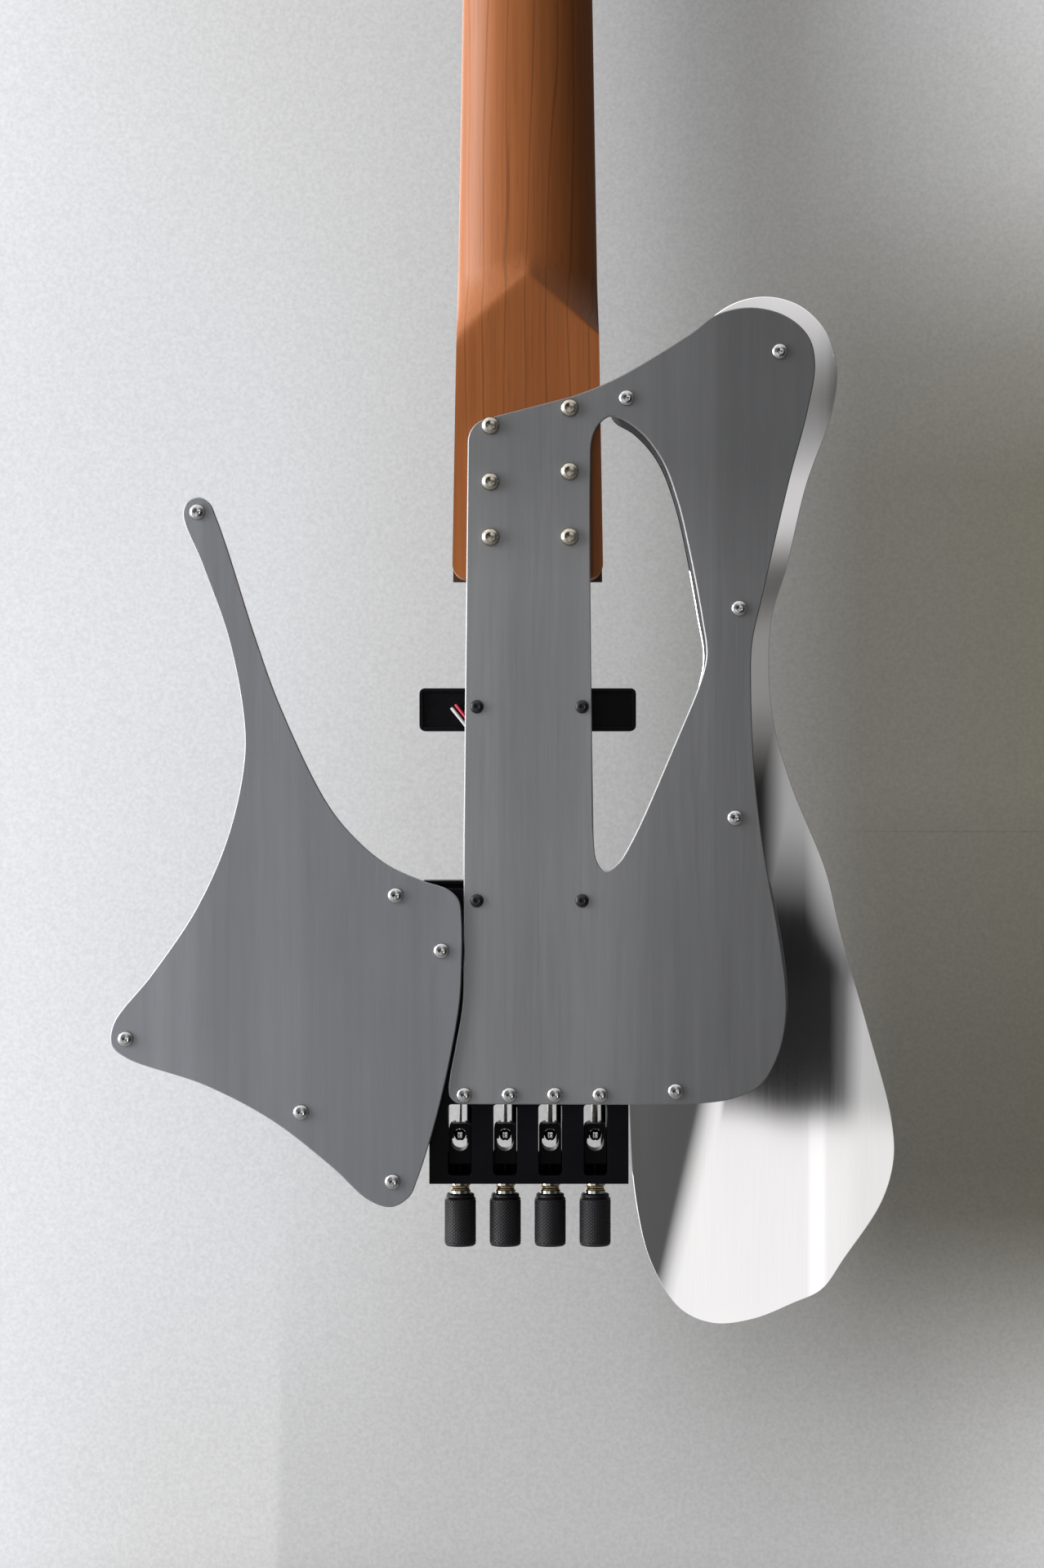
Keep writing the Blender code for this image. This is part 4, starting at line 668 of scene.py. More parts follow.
def sheet_shell(outer, holes, back, front, chamfer=CHAMFER):
    """A plate from loops of (x, height). Each loop carries a profile of four points over the thickness, with the
    edges broken at 45 degrees, and the loops on the two faces are filled."""
    def turned_way(loop, way):
        x, z = loop.T
        area = np.sum(x * np.roll(z, -1) - np.roll(x, -1) * z)
        return loop if area * way > 0 else loop[::-1]

    loops = [turned_way(outer, 1)] + [turned_way(loop, -1) for loop in holes]
    points, faces, start = [], [], 0
    for loop in loops:
        inner = offset(loop, chamfer)
        for places, level in ((inner, back), (loop, back + chamfer), (loop, front - chamfer), (inner, front)):
            points.append(np.stack([places[:, 0], np.full(len(places), level), places[:, 1] - TOP_HEIGHT], 1))
        faces += [[corner + start for corner in face] for face in grid_faces(4, len(loop))]
        start += 4 * len(loop)
    for ring in (0, 3):
        rows, index, at = [], [], 0
        for loop in loops:
            rows.append([Vector((x, z, 0.0)) for x, z in offset(loop, chamfer)])
            index.append(np.arange(len(loop)) + at + ring * len(loop))
            at += 4 * len(loop)
        index = np.concatenate(index)
        faces += [[int(index[corner]) for corner in face] for face in tessellate_polygon(rows)]
    return np.concatenate(points) * MM, faces


def brushed(name, colour, *painted_light_fades):
    """Aluminium brushed lengthwise: broad bands with soft edges, faint streaks in them, and fine scratches that
    run along Z and roughen the metal. Each painted light fade is an axis, two places along it and the factor past
    the
    second: painted shade or painted light across the plate where the light falls off or gathers, not a tone of the
    metal."""
    metal = finish(name, colour, 0.40, 0.62)
    dark = tuple(value * 0.93 for value in colour)
    light = tuple(value * 1.08 for value in colour)
    bands = tinted(metal, grain(metal, (34.0, 34.0, 1.4), detail=1.0), (0.40, dark), (0.45, colour),
                   (0.55, colour), (0.60, light))
    clouds = ranged(metal, grain(metal, (11.0, 11.0, 7.0), place=(3.0, 0.0, 1.0)), 0.95, 1.05)
    streaks = ranged(metal, grain(metal, (240.0, 240.0, 5.0), detail=3.0), 0.965, 1.035)
    scratches = grain(metal, (2600.0, 2600.0, 34.0))
    sides = node_in(metal, "ShaderNodeSeparateXYZ", object_places(metal))
    tone = times(metal, bands, clouds, streaks, ranged(metal, scratches, 0.965, 1.035))
    # Painted shade and light: each fade darkens or brightens the whole tone past a place along one axis.
    for axis, start, end, factor in painted_light_fades:
        tone = times(metal, tone, ranged(metal, sides.outputs[axis], 1.0, factor, start, end))
    paint(metal, base_color=tone, roughness=ranged(metal, scratches, 0.36, 0.46), relief=(scratches, 0.000005))
    return metal


# Painted shade: the plate's tone falls to 0.68 right of x 85 mm and to 0.78 above height 256 mm, where the light
# falls off.
brushed_plate = brushed("brushed_aluminium", (0.372, 0.376, 0.387), ("X", 0.025, 0.085, 0.68),
                        ("Z", -0.69, -0.64, 0.78))
plate_holes = [hole(f"neck_screw_{i}", M5_HOLE) for i in range(1, 7)]
plate_holes += [hole(name, M3_HOLE) for name in sorted(solids)
                if name.startswith(("body_standoff", "bridge_screw", "pickup_screw"))]
add_piece("back_plate_sheet",
          [sheet_shell(outline(BACK_PLATE), [outline(TEARDROP), *plate_holes], *PLATE_LEVELS)],
          brushed_plate, stands_for=["back_plate"])

# The wing. Two brushed plates with a long horn carry the controls between them, held apart by standoffs. Its
# back plate lies just outside the main plate's level, and a black bracket behind the pickup carries it.
WING_HORN = (
    (-144.0, 233.5), (-142.0, 239.0), (-137.4, 240.8), (-133.0, 238.5), (-130.0, 232.0),
    (-125.5, 219.3), (-113.9, 182.5), (-103.3, 153.2), (-84.0, 113.3), (-72.3, 98.6), (-58.7, 87.3),
)
WING_JOINT_EDGE = (
    (-43.7, 80.5), (-33.5, 77.0), (-28.8, 72.5), (-27.6, 64.5), (-27.6, 45.0), (-28.8, 27.0),
    (-37.0, -14.0), (-46.0, -44.0),
)
WING_FRONT_EDGE = ((-46.5, 82.0, 3.0), (-46.5, -42.0))
WING_OUTSIDE = (
    (-49.5, -51.5), (-57.0, -55.7), (-66.5, -52.8), (-82.0, -38.8), (-107.0, -19.4), (-135.0, -4.7),
    (-167.5, 6.5), (-173.8, 12.0), (-173.0, 21.0), (-157.0, 41.6), (-138.5, 69.0), (-125.0, 100.0),
    (-118.4, 132.0), (-119.0, 151.0), (-125.2, 182.5), (-136.0, 212.8),
)
BRACKET = (
    (-62.0, 60.0), (-61.5, 75.0), (-55.2, 81.5), (-47.0, 79.5), (-40.0, 77.0), (38.0, 77.0, 3.0),
    (38.0, -5.5, 3.0), (-44.0, -5.5, 3.0), (-50.0, 20.0),
)
WING_BACK_LEVELS, WING_FRONT_LEVELS, BRACKET_LEVELS = (-25.8, -22.8), (1.5, 4.0), (-19.2, -16.2)
WING_FRONT_INSET, BRACKET_CHAMFER, BUSHING_HOLE, JACK_HOLE = -2.4, 0.25, 3.95, 5.95
wing_standoffs = [f"wing_standoff_{i}" for i in range(1, 5)] + ["bracket_standoff"]

# Painted light: the wing's tone rises by 1.2 left of x -138 mm, nearer the window on the left.
brushed_wing = brushed("brushed_wing", (0.325, 0.334, 0.362), ("X", -0.118, -0.138, 1.2))
add_piece("wing_back_sheet",
          [sheet_shell(outline(WING_HORN + WING_JOINT_EDGE + WING_OUTSIDE),
                       [hole(name, M3_HOLE) for name in (*wing_standoffs, "bracket_screw")], *WING_BACK_LEVELS)],
          brushed_wing, stands_for=["wing_back_plate"])
front_holes = [hole(name, M3_HOLE) for name in wing_standoffs]
front_holes += [hole("volume_pot", BUSHING_HOLE), hole("tone_pot", BUSHING_HOLE), hole("output_jack", JACK_HOLE)]
add_piece("wing_front_sheet",
          [sheet_shell(outline(WING_HORN + WING_FRONT_EDGE + WING_OUTSIDE, WING_FRONT_INSET), front_holes,
                       *WING_FRONT_LEVELS)],
          brushed_wing, stands_for=["wing_front_plate"])
bracket_holes = [hole(name, M3_HOLE) for name in ("bracket_standoff", "bracket_screw", "pickup_screw_3",
                                                  "pickup_screw_4")]
add_piece("wing_bracket_plate", [sheet_shell(outline(BRACKET), bracket_holes, *BRACKET_LEVELS, BRACKET_CHAMFER)],
          black_anodised, stands_for=["wing_bracket"])

# The front sheet. The outer half of the body is one sheet of aluminium, 2 mm thick, cut flat, bent in a slow
# roll and a steeper fold towards the back, and polished until it mirrors the room.
FRONT_SHEET = (
    (36.5, 287.0), (52.0, 296.5), (68.0, 309.5), (79.0, 320.5), (90.0, 327.0), (103.0, 329.0),
    (116.5, 325.0), (127.0, 314.5), (132.0, 299.0), (130.0, 280.0), (119.0, 248.5), (110.5, 213.0),
    (104.5, 193.0), (103.0, 172.0), (105.0, 148.0), (112.5, 121.0), (127.0, 84.5), (133.0, 59.0),
    (145.0, 15.5), (154.0, -20.0), (155.0, -38.0), (150.0, -56.0), (134.5, -80.5), (125.0, -94.0),
    (113.0, -100.0), (96.0, -107.0), (79.0, -109.0), (65.0, -103.0), (52.5, -83.0), (46.0, -56.0),
    (43.5, -20.0), (44.0, 20.0), (48.0, 55.0), (49.0, 88.0), (58.0, 122.0), (72.5, 161.0),
    (75.0, 175.0), (72.5, 192.0), (63.0, 239.0), (55.0, 259.0), (45.5, 270.0), (37.0, 275.5),
    (34.5, 280.5),
)
SHEET_BACK, SHEET_THICKNESS, SHEET_CHAMFER = 5.5, 2.0, 0.3
ROLL_FOOT, ROLL_LEAN, ROLL_WIDTH, ROLL_SLOPE = (69.8, -17.7), 0.214, 14.0, 0.09
FOLD_X, FOLD_WIDTH, FOLD_SLOPE = 116.5, 26.0, 0.20


def sheet_rise(x, height):
    """How far the sheet comes back towards the plate. Across a bend the slope grows evenly, so the rise is the
    slope times the square of the way in over twice the bend's width, and past the bend it is a straight slope."""
    rolled = (x - ROLL_FOOT[0] - (height - ROLL_FOOT[1]) * ROLL_LEAN) / math.hypot(1.0, ROLL_LEAN)
    rise = 0.0
    for past, width, slope in ((rolled, ROLL_WIDTH, ROLL_SLOPE), (x - FOLD_X, FOLD_WIDTH, FOLD_SLOPE)):
        bend = np.clip(past, 0.0, width)
        rise = rise + slope * (bend * bend / (2 * width) + np.maximum(past - width, 0.0))
    return rise


points, faces = sheet_shell(outline(FRONT_SHEET), [hole(f"body_standoff_{i}", M3_HOLE) for i in range(1, 6)],
                            0.0, SHEET_THICKNESS, SHEET_CHAMFER)
flat_sheet = bpy.data.meshes.new("front_sheet_flat")
flat_sheet.from_pydata(points.tolist(), [], faces)
shape = bmesh.new()
shape.from_mesh(flat_sheet)
bmesh.ops.remove_doubles(shape, verts=shape.verts, dist=2e-7)
creases = [((ROLL_FOOT[0] + share * ROLL_WIDTH, ROLL_FOOT[1]), (1.0, 0.0, -ROLL_LEAN))
           for share in np.linspace(0.0, 1.0, 15)]
creases += [((FOLD_X + share * FOLD_WIDTH, 0.0), (1.0, 0.0, 0.0)) for share in np.linspace(0.0, 1.0, 27)]
for (x, height), normal in creases:
    bmesh.ops.bisect_plane(shape, geom=[*shape.verts, *shape.edges, *shape.faces],
                           plane_co=(x * MM, 0.0, (height - TOP_HEIGHT) * MM), plane_no=normal)
bmesh.ops.triangulate(shape, faces=[face for face in shape.faces if len(face.verts) > 4])
bmesh.ops.recalc_face_normals(shape, faces=shape.faces)
shape.to_mesh(flat_sheet)
shape.free()
places = np.empty(len(flat_sheet.vertices) * 3, np.float32)
flat_sheet.vertices.foreach_get("co", places)
places = places.reshape(-1, 3)
places[:, 1] += (SHEET_BACK - sheet_rise(places[:, 0] / MM, places[:, 2] / MM + TOP_HEIGHT)) * MM
flat_sheet.vertices.foreach_set("co", places.ravel())

polished = finish("polished_aluminium", (0.88, 0.87, 0.87), 0.13, 1.0)
hazes = grain(polished, (22.0, 22.0, 5.0))
hairlines = grain(polished, (1500.0, 1500.0, 16.0))
shine = times(polished, tinted(polished, hazes, (0.3, (0.86, 0.84, 0.85)), (0.6, (0.91, 0.90, 0.895))),
              ranged(polished, hairlines, 0.985, 1.01))
waves = grain(polished, (17.0, 17.0, 6.0), detail=1.0, place=(0.0, 2.0, 0.0))
paint(polished, base_color=shine, roughness=ranged(polished, hairlines, 0.035, 0.040), relief=(waves, 0.0004))
place_piece("front_sheet_bent", flat_sheet, polished, stands_for=["front_sheet"])

# The fasteners. Button head screws with hex sockets: large nickel ones for the neck, bright steel ones
# that meet in threaded standoffs between the plates, and small black ones that hang the pickups on sleeves.
chrome = worn("bright_steel", (0.50, 0.50, 0.505), 0.10, 1.0, (500.0, 500.0, 500.0), 0.06, 0.17, 4.0)
# Heads as (radius, rise, half the socket's width), then radii, then the levels where a head or post meets a plate.
BUTTON = (3.25, 1.9, 1.05)
NECK_BUTTON = (3.8, 3.2, 1.55)
BLACK_BUTTON = (2.8, 1.7, 0.95)
M3, M5, POST, SPACER, SLEEVE = 1.5, 2.5, 3.5, 4.5, 3.0
NECK_TIP, BRIDGE_TIP, BRACKET_TIP, PICKUP_TIP, PICKUP_BACK = -6.2, -10.2, -13.5, -6.0, -11.8
BEFORE_SHEET, BEHIND_SHEET, BEFORE_PLATE, BEHIND_PLATE = 7.8, 5.2, -19.2, -22.8
BEFORE_WING, BEHIND_WING_FRONT, BEFORE_WING_BACK, BEHIND_WING = 4.3, 1.2, -22.5, -26.1
BEFORE_BRACKET, BEHIND_BRACKET = -15.9, -19.5


def fastener(node, stages, back_head, front_head, material):
    """A fastener along Y where its solid is. Stages are (front, back, radius) from the strings' side back."""
    front, back = stages[0][0], stages[-1][1]
    profile = socket_head(*front_head, front)[::-1] if front_head else [(0.0, front)]
    for high_end, low_end, radius in stages:
        profile += [(radius, high_end), (radius, low_end)]
    profile += socket_head(*back_head, back, facing=-1.0)
    add_piece(f"{node}_turned", [turned(profile, middle_of(node))], material, stands_for=[node],
              crease=35.0)


for i in range(1, 7):
    fastener(f"neck_screw_{i}", [(NECK_TIP, BEHIND_PLATE, M5)], NECK_BUTTON, None, nickel)
for i in range(1, 6):
    fastener(f"body_standoff_{i}", [(BEFORE_SHEET, BEHIND_SHEET, M3), (BEHIND_SHEET, BEFORE_PLATE, POST),
                                    (BEFORE_PLATE, BEHIND_PLATE, M3)], BUTTON, BUTTON, chrome)
wing_screw = (BEFORE_WING, BEHIND_WING_FRONT, M3)
for i in range(1, 5):
    fastener(f"wing_standoff_{i}", [wing_screw, (BEHIND_WING_FRONT, BEFORE_WING_BACK, POST),
                                    (BEFORE_WING_BACK, BEHIND_WING, M3)], BUTTON, BUTTON, chrome)
    fastener(f"bridge_screw_{i}", [(BRIDGE_TIP, BEHIND_PLATE, M3)], BUTTON, None, chrome)
through_bracket = [(BEFORE_BRACKET, BEHIND_BRACKET, M3), (BEHIND_BRACKET, BEFORE_WING_BACK, SPACER),
                   (BEFORE_WING_BACK, BEHIND_WING, M3)]
fastener("bracket_standoff", [wing_screw, (BEHIND_WING_FRONT, BEFORE_BRACKET, POST), *through_bracket], BUTTON,
         BUTTON, chrome)
fastener("bracket_screw", [(BRACKET_TIP, BEFORE_BRACKET, POST), *through_bracket], BUTTON, None, chrome)
for i, sleeve_back in enumerate((BEFORE_PLATE, BEFORE_PLATE, BEFORE_BRACKET, BEFORE_BRACKET), 1):
    fastener(f"pickup_screw_{i}",
             [(PICKUP_TIP, PICKUP_BACK, M3), (PICKUP_BACK, sleeve_back, SLEEVE), (sleeve_back, BEHIND_PLATE, M3)],
             BLACK_BUTTON, None, black_steel)

# The pickups. Two slim bars moulded in black plastic, potted a little below their rims behind, with flush
# steel poles under each string in front. The bare backs carry no marks.
black_plastic = finish("black_plastic", (0.005, 0.005, 0.007), 0.42)
black_plastic.node_tree.nodes["Principled BSDF"].inputs["Specular IOR Level"].default_value = 0.12
pebble = grain(black_plastic, (2600.0, 2600.0, 2600.0), detail=3.0)
rubbed = grain(black_plastic, (90.0, 90.0, 90.0), detail=3.0)
paint(black_plastic, roughness=ranged(black_plastic, rubbed, 0.32, 0.50), relief=(pebble, 0.00003),
      base_color=tinted(black_plastic, rubbed, (0.3, (0.0035, 0.0035, 0.005)), (0.7, (0.006, 0.006, 0.008))))
PICKUP_HEIGHTS = {"neck": 152.4, "bridge": 71.2}
POLE_SPREAD, POLE_RADIUS, POLE_BACK, POLE_FRONT = 4.2, 2.3, 3.0, 5.9
for name, height in PICKUP_HEIGHTS.items():
    softened(f"pickup_{name}_bar", f"pickup_{name}", 0.4, black_plastic)
    poles = []
    for far, near in zip(NUT_X, STRING_X):
        middle = near + (far - near) * height / NUT_HEIGHT
        for side in (-POLE_SPREAD, POLE_SPREAD):
            poles.append(turned([(0.0, POLE_BACK), (POLE_RADIUS, POLE_BACK), (POLE_RADIUS, POLE_FRONT - 0.3),
                                 (POLE_RADIUS - 0.3, POLE_FRONT), (0.0, POLE_FRONT + 0.05)],
                                (middle + side, 0.0, height), sides=32))
    add_piece(f"pickup_{name}_poles", poles, chrome)

# The bridge. A black anodised block with four open channels. Saddles sit on its shelf, each with two height
# screws, and a long threaded screw from the end wall sets each saddle's place.
softened("bridge_block_milled", "bridge_block", 0.3, black_anodised)
GRUB_SPREAD, GRUB_HEIGHT = 5.2, 6.3
INTONATION_OFFSET, INTONATION_Y, INTONATION_RADIUS, INTONATION_END, INTONATION_TIP = 3.7, 3.0, 1.25, -46.4, 9.0
THREAD_DEPTH, THREAD_PITCH = 0.24, 0.9


def threaded_rod(place, low, high, radius, depth, pitch, sides=24):
    """A rod along Z with a helical thread: the radius less the depth times a triangle wave of the distance over
    the pitch plus the share of a turn."""
    distance = np.arange(low, high, pitch / 4)
    angles = full_turn(sides)
    phase = distance[:, None] / pitch + angles[None, :] / (2 * math.pi)
    cut_in = depth * np.abs(2 * (phase % 1.0) - 1)
    cut_in[[0, -1]] = depth
    radii = np.vstack([np.zeros(sides), radius - cut_in, np.zeros(sides)])
    return revolved(radii, [distance[0], *distance, distance[-1]], angles, place, "Z")


for name, x in zip(STRING_NAMES, STRING_X):
    softened(f"saddle_{name}_milled", f"saddle_{name}", 0.25, black_anodised, f"saddle_{name}")
    grubs = [turned([(0.0, 2.2), (1.25, 2.2), (1.25, 8.6), (1.0, 8.85), (0.68, 8.85), (0.65, 8.75, 6),
                     (0.65, 7.4, 6), (0.0, 7.2)], (x + side, 0.0, GRUB_HEIGHT), sides=36)
             for side in (-GRUB_SPREAD, GRUB_SPREAD)]
    add_piece(f"saddle_{name}_height_screws", grubs, black_steel, f"saddle_{name}")
    place = (x + INTONATION_OFFSET, INTONATION_Y, 0.0)
    rod = threaded_rod(place, INTONATION_END, INTONATION_TIP, INTONATION_RADIUS, THREAD_DEPTH, THREAD_PITCH)
    head = turned([(0.0, INTONATION_END), (1.9, -47.1), (1.9, -48.6), (1.6, -49.0), (1.0, -49.0),
                   (0.75, -48.9, 6), (0.75, -47.9, 6), (0.0, -47.8)], place, "Z")
    add_piece(f"intonation_screw_{name}", [rod, head], black_steel)

# The strings. Steel wound on a steel core, from the clamp in the headpiece over the frets and the saddle's
# crest, then steeply down into the carriage's slot and back to a ball end that sits in the carriage's seat.
STRING_BORE, TAIL_SLOPE = 22.0, 0.553
BALL_Y, BALL_HEIGHT, BALL_RADIUS, BALL_HALF_LENGTH, BALL_WAIST = -11.4, -26.95, 2.55, 2.4, 0.4


def swept(path, radius, sides=20):
    """A round tube carried along a path in millimetres: a circle at each point, square to the path there, whose
    first direction is the path's crossed with Y. Each end closes on its own middle."""
    path = np.array(path, float)
    along = np.gradient(path, axis=0)
    along /= np.linalg.norm(along, axis=1, keepdims=True)
    across = np.cross(along, (0.0, 1.0, 0.0))
    across /= np.linalg.norm(across, axis=1, keepdims=True)
    other = np.cross(across, along)
    angles = full_turn(sides)[None, :, None]
    rings = path[:, None] + radius * (np.cos(angles) * across[:, None] + np.sin(angles) * other[:, None])
    ends = [np.repeat(path[i][None, None], sides, axis=1) for i in (0, -1)]
    rings = np.concatenate([ends[0], rings, ends[1]])
    return (rings * MM).reshape(-1, 3), grid_faces(len(rings), sides)


def bent(start, corner, end):
    """A curve from start to end that leaves and arrives along the lines through the corner."""
    share = np.linspace(0.0, 1.0, 9)[:, None]
    return start * (1 - share) ** 2 + corner * 2 * share * (1 - share) + end * share ** 2


string_steel = finish("wound_steel", (0.58, 0.57, 0.54), 0.30, 1.0)
winding = node_in(string_steel, "ShaderNodeTexWave", object_places(string_steel), Scale=620.0, Distortion=0.0)
winding.bands_direction = "Z"
paint(string_steel, roughness=ranged(string_steel, grain(string_steel, (300.0, 300.0, 40.0)), 0.24, 0.40),
      base_color=times(string_steel, tinted(string_steel, grain(string_steel, (50.0, 50.0, 12.0)),
                                            (0.3, (0.50, 0.49, 0.46)), (0.7, (0.66, 0.65, 0.62))),
                       ranged(string_steel, winding.outputs["Fac"], 0.55, 1.0, 0.0, 0.6)),
      relief=(winding.outputs["Fac"], 0.00012))
ball_steel = worn("ball_steel", (0.62, 0.62, 0.60), 0.14, 1.0, (900.0, 900.0, 900.0), 0.08, 0.22)
for name, radius, near, far in zip(STRING_NAMES, STRING_RADII, STRING_X, NUT_X):
    nut = np.array([far, STRING_FLOOR_AT_NUT + radius, NUT_HEIGHT])
    saddle = np.array([near, STRING_FLOOR_AT_SADDLE + radius, 0.0])
    tail_way = np.array([0.0, -TAIL_SLOPE, -1.0])
    nut_way = (nut - saddle) / np.linalg.norm(nut - saddle)
    turn_back = saddle - tail_way * (BALL_HEIGHT + 0.3)
    ball_way = np.array([near, BALL_Y, BALL_HEIGHT]) - turn_back
    route = np.vstack([[nut + (0, 0, STRING_BORE)], [nut + (0, 0, 0.5)], [nut + nut_way * -1.0],
                       bent(saddle + nut_way * 1.5, saddle, saddle + tail_way * 1.3),
                       bent(turn_back - tail_way * 3.0, turn_back, turn_back + ball_way * 0.4),
                       [turn_back + ball_way * 0.8]])
    route[:, 2] -= TOP_HEIGHT
    add_piece(f"string_{name}_wound", [swept(route, radius)], string_steel,
              stands_for=[f"string_{name}"], crease=60.0)
    turn = np.linspace(0.0, math.pi, 25)
    across = BALL_HALF_LENGTH * np.cos(turn)
    ball = np.maximum(BALL_RADIUS * np.sin(turn) - BALL_WAIST * np.exp(-(across / 0.5) ** 2), 0.0)
    add_piece(f"string_{name}_ball", [turned(list(zip(ball, across)), (near, BALL_Y, BALL_HEIGHT), "X")],
              ball_steel, f"carriage_{name}", crease=60.0)

# The tuners. A carriage slides in each channel and is drawn down by a knurled knob on its threaded tail. The
# knob bears on the block through two steel races with a brass ring between them.
TUNER_Y, BEARING_TOP, KNOB_SHOULDER, KNOB_END = -6.5, -47.1, -52.2, -74.2
RACE_BORE, RACE_RADIUS, RACE_THICKNESS = 2.4, 4.35, 1.6
KNOB_RADIUS, KNOB_STEP_RADIUS, KNURL_DEPTH, KNURLS, KNURL_ROWS = 6.75, 5.9, 0.32, 28, 13

brass = worn("brass_ring", (0.70, 0.50, 0.22), 0.22, 1.0, (600.0, 600.0, 600.0), 0.16, 0.34)
knurled_black = anodised("knurled_black", (0.005, 0.005, 0.007), (0.009, 0.009, 0.012), 0.44, 0.40)
knurl_top, knurl_bottom = KNOB_SHOULDER - 2.6, KNOB_END + 1.2
knurl_distance = np.linspace(knurl_top, knurl_bottom, KNURL_ROWS * 4 + 1)
knurl_angles = full_turn(KNURLS * 4)
turns_round = knurl_angles[None, :] * KNURLS / (2 * math.pi)
rows_along = np.linspace(0.0, KNURL_ROWS, KNURL_ROWS * 4 + 1)[:, None]
grooves = [np.abs(2 * ((turns_round + side * rows_along) % 1.0) - 1) for side in (-1, 1)]
knurl_cut = KNURL_DEPTH * np.maximum(np.maximum(*grooves), 0.3)
knurl_cut[[0, -1]] = KNURL_DEPTH
above = [(0.0, KNOB_SHOULDER), (KNOB_STEP_RADIUS - 0.3, KNOB_SHOULDER), (KNOB_STEP_RADIUS, KNOB_SHOULDER - 0.3),
         (KNOB_STEP_RADIUS, KNOB_SHOULDER - 1.3), (KNOB_RADIUS - 0.15, KNOB_SHOULDER - 2.2)]
below = [(KNOB_RADIUS - 0.15, KNOB_END + 0.8), (KNOB_RADIUS - 0.9, KNOB_END), (3.0, KNOB_END),
         (2.6, KNOB_END + 0.5), (0.0, KNOB_END + 0.6)]
columns = np.ones((1, KNURLS * 4))
knob_radii = np.vstack([np.array([[r] for r, _ in above]) * columns, KNOB_RADIUS - knurl_cut,
                        np.array([[r] for r, _ in below]) * columns])
knob_distance = [*(d for _, d in above), *knurl_distance, *(d for _, d in below)]
for name, x in zip(STRING_NAMES, STRING_X):
    softened(f"carriage_{name}_milled", f"carriage_{name}", 0.3, black_anodised,
             f"carriage_{name}")
    place = (x, TUNER_Y, 0.0)
    add_piece(f"tuner_knob_{name}_knurled", [revolved(knob_radii, knob_distance, knurl_angles, place, "Z")],
              knurled_black, f"tuner_knob_{name}", [f"tuner_knob_{name}"], crease=20.0)
    races = [turned([(RACE_BORE, top), (RACE_RADIUS - 0.25, top), (RACE_RADIUS, top - 0.25),
                     (RACE_RADIUS, top - RACE_THICKNESS + 0.25), (RACE_RADIUS - 0.25, top - RACE_THICKNESS),
                     (RACE_BORE, top - RACE_THICKNESS), (RACE_BORE, top)], place, "Z")
             for top in (BEARING_TOP, KNOB_SHOULDER + RACE_THICKNESS)]
    add_piece(f"tuner_races_{name}", races, chrome, f"tuner_knob_{name}")
    add_piece(f"tuner_bearing_{name}", [turned(
        [(RACE_BORE, -48.6), (3.8, -48.6), (3.95, -49.1), (3.7, -49.65), (3.95, -50.2), (3.8, -50.7),
         (RACE_BORE, -50.7), (RACE_BORE, -48.6)], place, "Z")], brass, f"tuner_knob_{name}")

# The controls. Two pots and a socket for the lead hang on the wing's front plate by their nuts. The knobs are
# turned, fluted at the side and marked with a white line.
POT_FRONT, POT_BACK, POT_RADIUS, BUSHING, BUSHING_END, SHAFT = BEHIND_WING_FRONT, -8.3, 8.2, 3.6, 6.4, 3.4
CONTROL_RADIUS, CONTROL_SKIRT, CONTROL_TOP, FLUTES, FLUTE_DEPTH = 9.0, 7.0, 21.0, 40, 0.3
plated_steel = worn("plated_steel", (0.55, 0.54, 0.51), 0.30, 1.0, (260.0, 260.0, 260.0), 0.22, 0.44, 3.0)
white_line = worn("white_line", (0.78, 0.78, 0.76), 0.45, 0.0, (1200.0, 1200.0, 1200.0), 0.38, 0.55)
flute_angles = full_turn(FLUTES * 6)
flute = FLUTE_DEPTH * np.abs(np.sin(flute_angles * FLUTES / 2))[None, :] ** 0.6
control_rows = np.array([
    (0.0, CONTROL_TOP - 0.5, 0), (CONTROL_RADIUS - 2.4, CONTROL_TOP - 0.5, 0),
    (CONTROL_RADIUS - 1.6, CONTROL_TOP, 0), (CONTROL_RADIUS - 0.9, CONTROL_TOP, 0),
    (CONTROL_RADIUS - 0.3, CONTROL_TOP - 0.6, 0), (CONTROL_RADIUS, CONTROL_TOP - 1.2, 1),
    (CONTROL_RADIUS, CONTROL_SKIRT + 2.2, 1), (CONTROL_RADIUS, CONTROL_SKIRT + 1.6, 0),
    (CONTROL_RADIUS, CONTROL_SKIRT, 0), (3.0, CONTROL_SKIRT, 0), (3.0, -6.0, 0), (0.0, -6.0, 0)])
control_radii = control_rows[:, :1] - flute * control_rows[:, 2:]
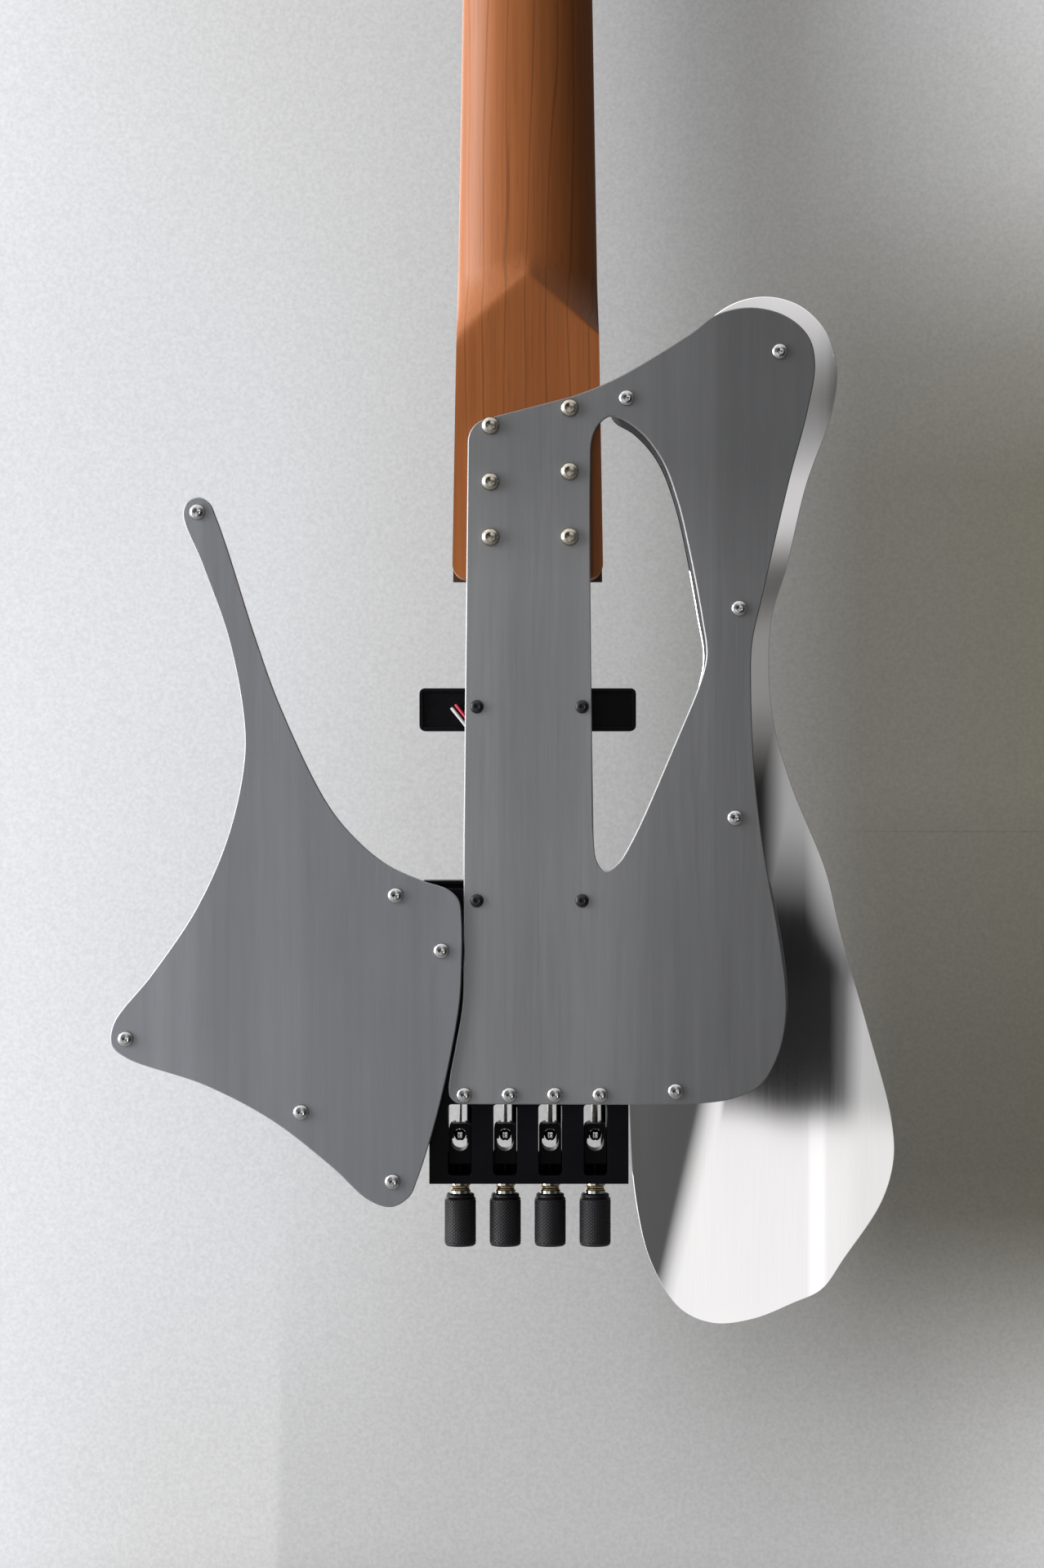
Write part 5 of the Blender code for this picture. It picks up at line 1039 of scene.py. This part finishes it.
for name in ("volume", "tone"):
    place = middle_of(f"{name}_pot")
    pot = turned([(0.0, POT_BACK), (POT_RADIUS - 0.8, POT_BACK), (POT_RADIUS, POT_BACK + 0.8),
                  (POT_RADIUS, POT_FRONT - 0.4), (POT_RADIUS - 0.4, POT_FRONT), (BUSHING, POT_FRONT),
                  (BUSHING, BUSHING_END), (SHAFT, BUSHING_END + 0.05), (SHAFT, -6.3), (0.0, -6.3)], place)
    nut = turned([(BUSHING, BEFORE_WING), (5.5, BEFORE_WING), (5.5, BEFORE_WING + 0.4),
                  (4.75, BEFORE_WING + 0.4, 6), (4.75, BEFORE_WING + 1.8, 6), (4.2, BEFORE_WING + 2.15),
                  (BUSHING, BEFORE_WING + 2.15), (BUSHING, BEFORE_WING)], place)
    add_piece(f"{name}_pot_turned", [pot, nut], plated_steel, stands_for=[f"{name}_pot"])
    add_piece(f"{name}_knob_fluted", [revolved(control_radii, control_rows[:, 1], flute_angles, place, "Y")],
              knurled_black, f"{name}_knob", [f"{name}_knob"], crease=25.0)
    x, _, height = place
    corners = np.array([[(x + side * 0.45, level, height - TOP_HEIGHT + along) for side, level in (
        (-1, CONTROL_TOP - 0.6), (1, CONTROL_TOP - 0.6), (1, line_top), (-1, line_top))]
        for along, line_top in ((3.0, CONTROL_TOP - 0.45), (7.1, CONTROL_TOP + 0.03))])
    add_piece(f"{name}_pointer", [lofted(corners * MM)], white_line, f"{name}_knob")
jack = turned([(0.0, -11.5), (3.3, -11.5), (3.3, 6.2), (3.6, 6.5), (4.6, 6.5), (5.0, 6.1), (5.2, 5.2),
               (6.5, 5.2, 6), (6.5, 4.9, 6), (7.5, 4.8), (7.5, BEFORE_WING), (5.6, BEFORE_WING), (5.6, -13.1),
               (5.2, -13.5), (0.0, -13.5)], middle_of("output_jack"))
add_piece("output_jack_turned", [jack], nickel, stands_for=["output_jack"])

# The leads. Two thin insulated wires leave the neck pickup's pocket, pass behind the strip and over the
# bracket side by side, and end at the volume pot.
WIRE_RADIUS, LEAD_SPACING = 0.75, 2.2
POCKET, OVER_BRACKET, POT_SIDE, POT_LEVEL = -10.3, -13.8, -70.75, -3.25
LEAD_PLACES = (
    (-32.0, POCKET - WIRE_RADIUS, 153.0), (-30.0, POCKET - 2.4, 150.5), (-26.0, POCKET - 4.4, 145.5),
    (-18.0, POCKET - 5.0, 134.0), (-13.0, POCKET - 5.0, 118.0), (-12.0, OVER_BRACKET, 98.0),
    (-12.0, OVER_BRACKET, 80.0), (-14.0, OVER_BRACKET, 64.0), (-22.0, OVER_BRACKET, 50.0),
    (-34.0, OVER_BRACKET, 40.0), (-48.0, OVER_BRACKET + 1.0, 36.0), (-60.0, OVER_BRACKET + 3.0, 41.0),
    (POT_SIDE + 4.0, POT_LEVEL - 2.0, 46.0), (POT_SIDE, POT_LEVEL, 46.0),
)
lead_places = [np.array(place) for place in LEAD_PLACES]
lead_places = [2 * lead_places[0] - lead_places[1], *lead_places, 2 * lead_places[-1] - lead_places[-2]]
lead_route = np.vstack([smooth_run(*lead_places[i:i + 4], 8) for i in range(len(LEAD_PLACES) - 1)]
                       + [lead_places[-2][None]])
beside = np.gradient(lead_route, axis=0)[:, [2, 0]] * (-1.0, 1.0)
beside /= np.linalg.norm(beside, axis=1, keepdims=True)
for name, side, colour, slot in (("white", 0.0, (0.78, 0.78, 0.77), "white_wire"),
                                 ("red", LEAD_SPACING, (0.55, 0.015, 0.045), "red_wire")):
    insulation = finish(f"{name}_insulation", colour, 0.38)
    dulled = grain(insulation, (700.0, 700.0, 700.0), detail=3.0)
    paint(insulation, roughness=ranged(insulation, dulled, 0.30, 0.50),
          base_color=tinted(insulation, dulled, (0.3, tuple(0.85 * value for value in colour)), (0.7, colour)))
    route = lead_route + beside[:, [0, 0, 1]] * (side, 0.0, side) - (0.0, 0.0, TOP_HEIGHT)
    lead = add_piece(f"lead_{name}_wire", [swept(route, WIRE_RADIUS, 14)], insulation,
                     stands_for=[f"lead_{name}"], crease=60.0)
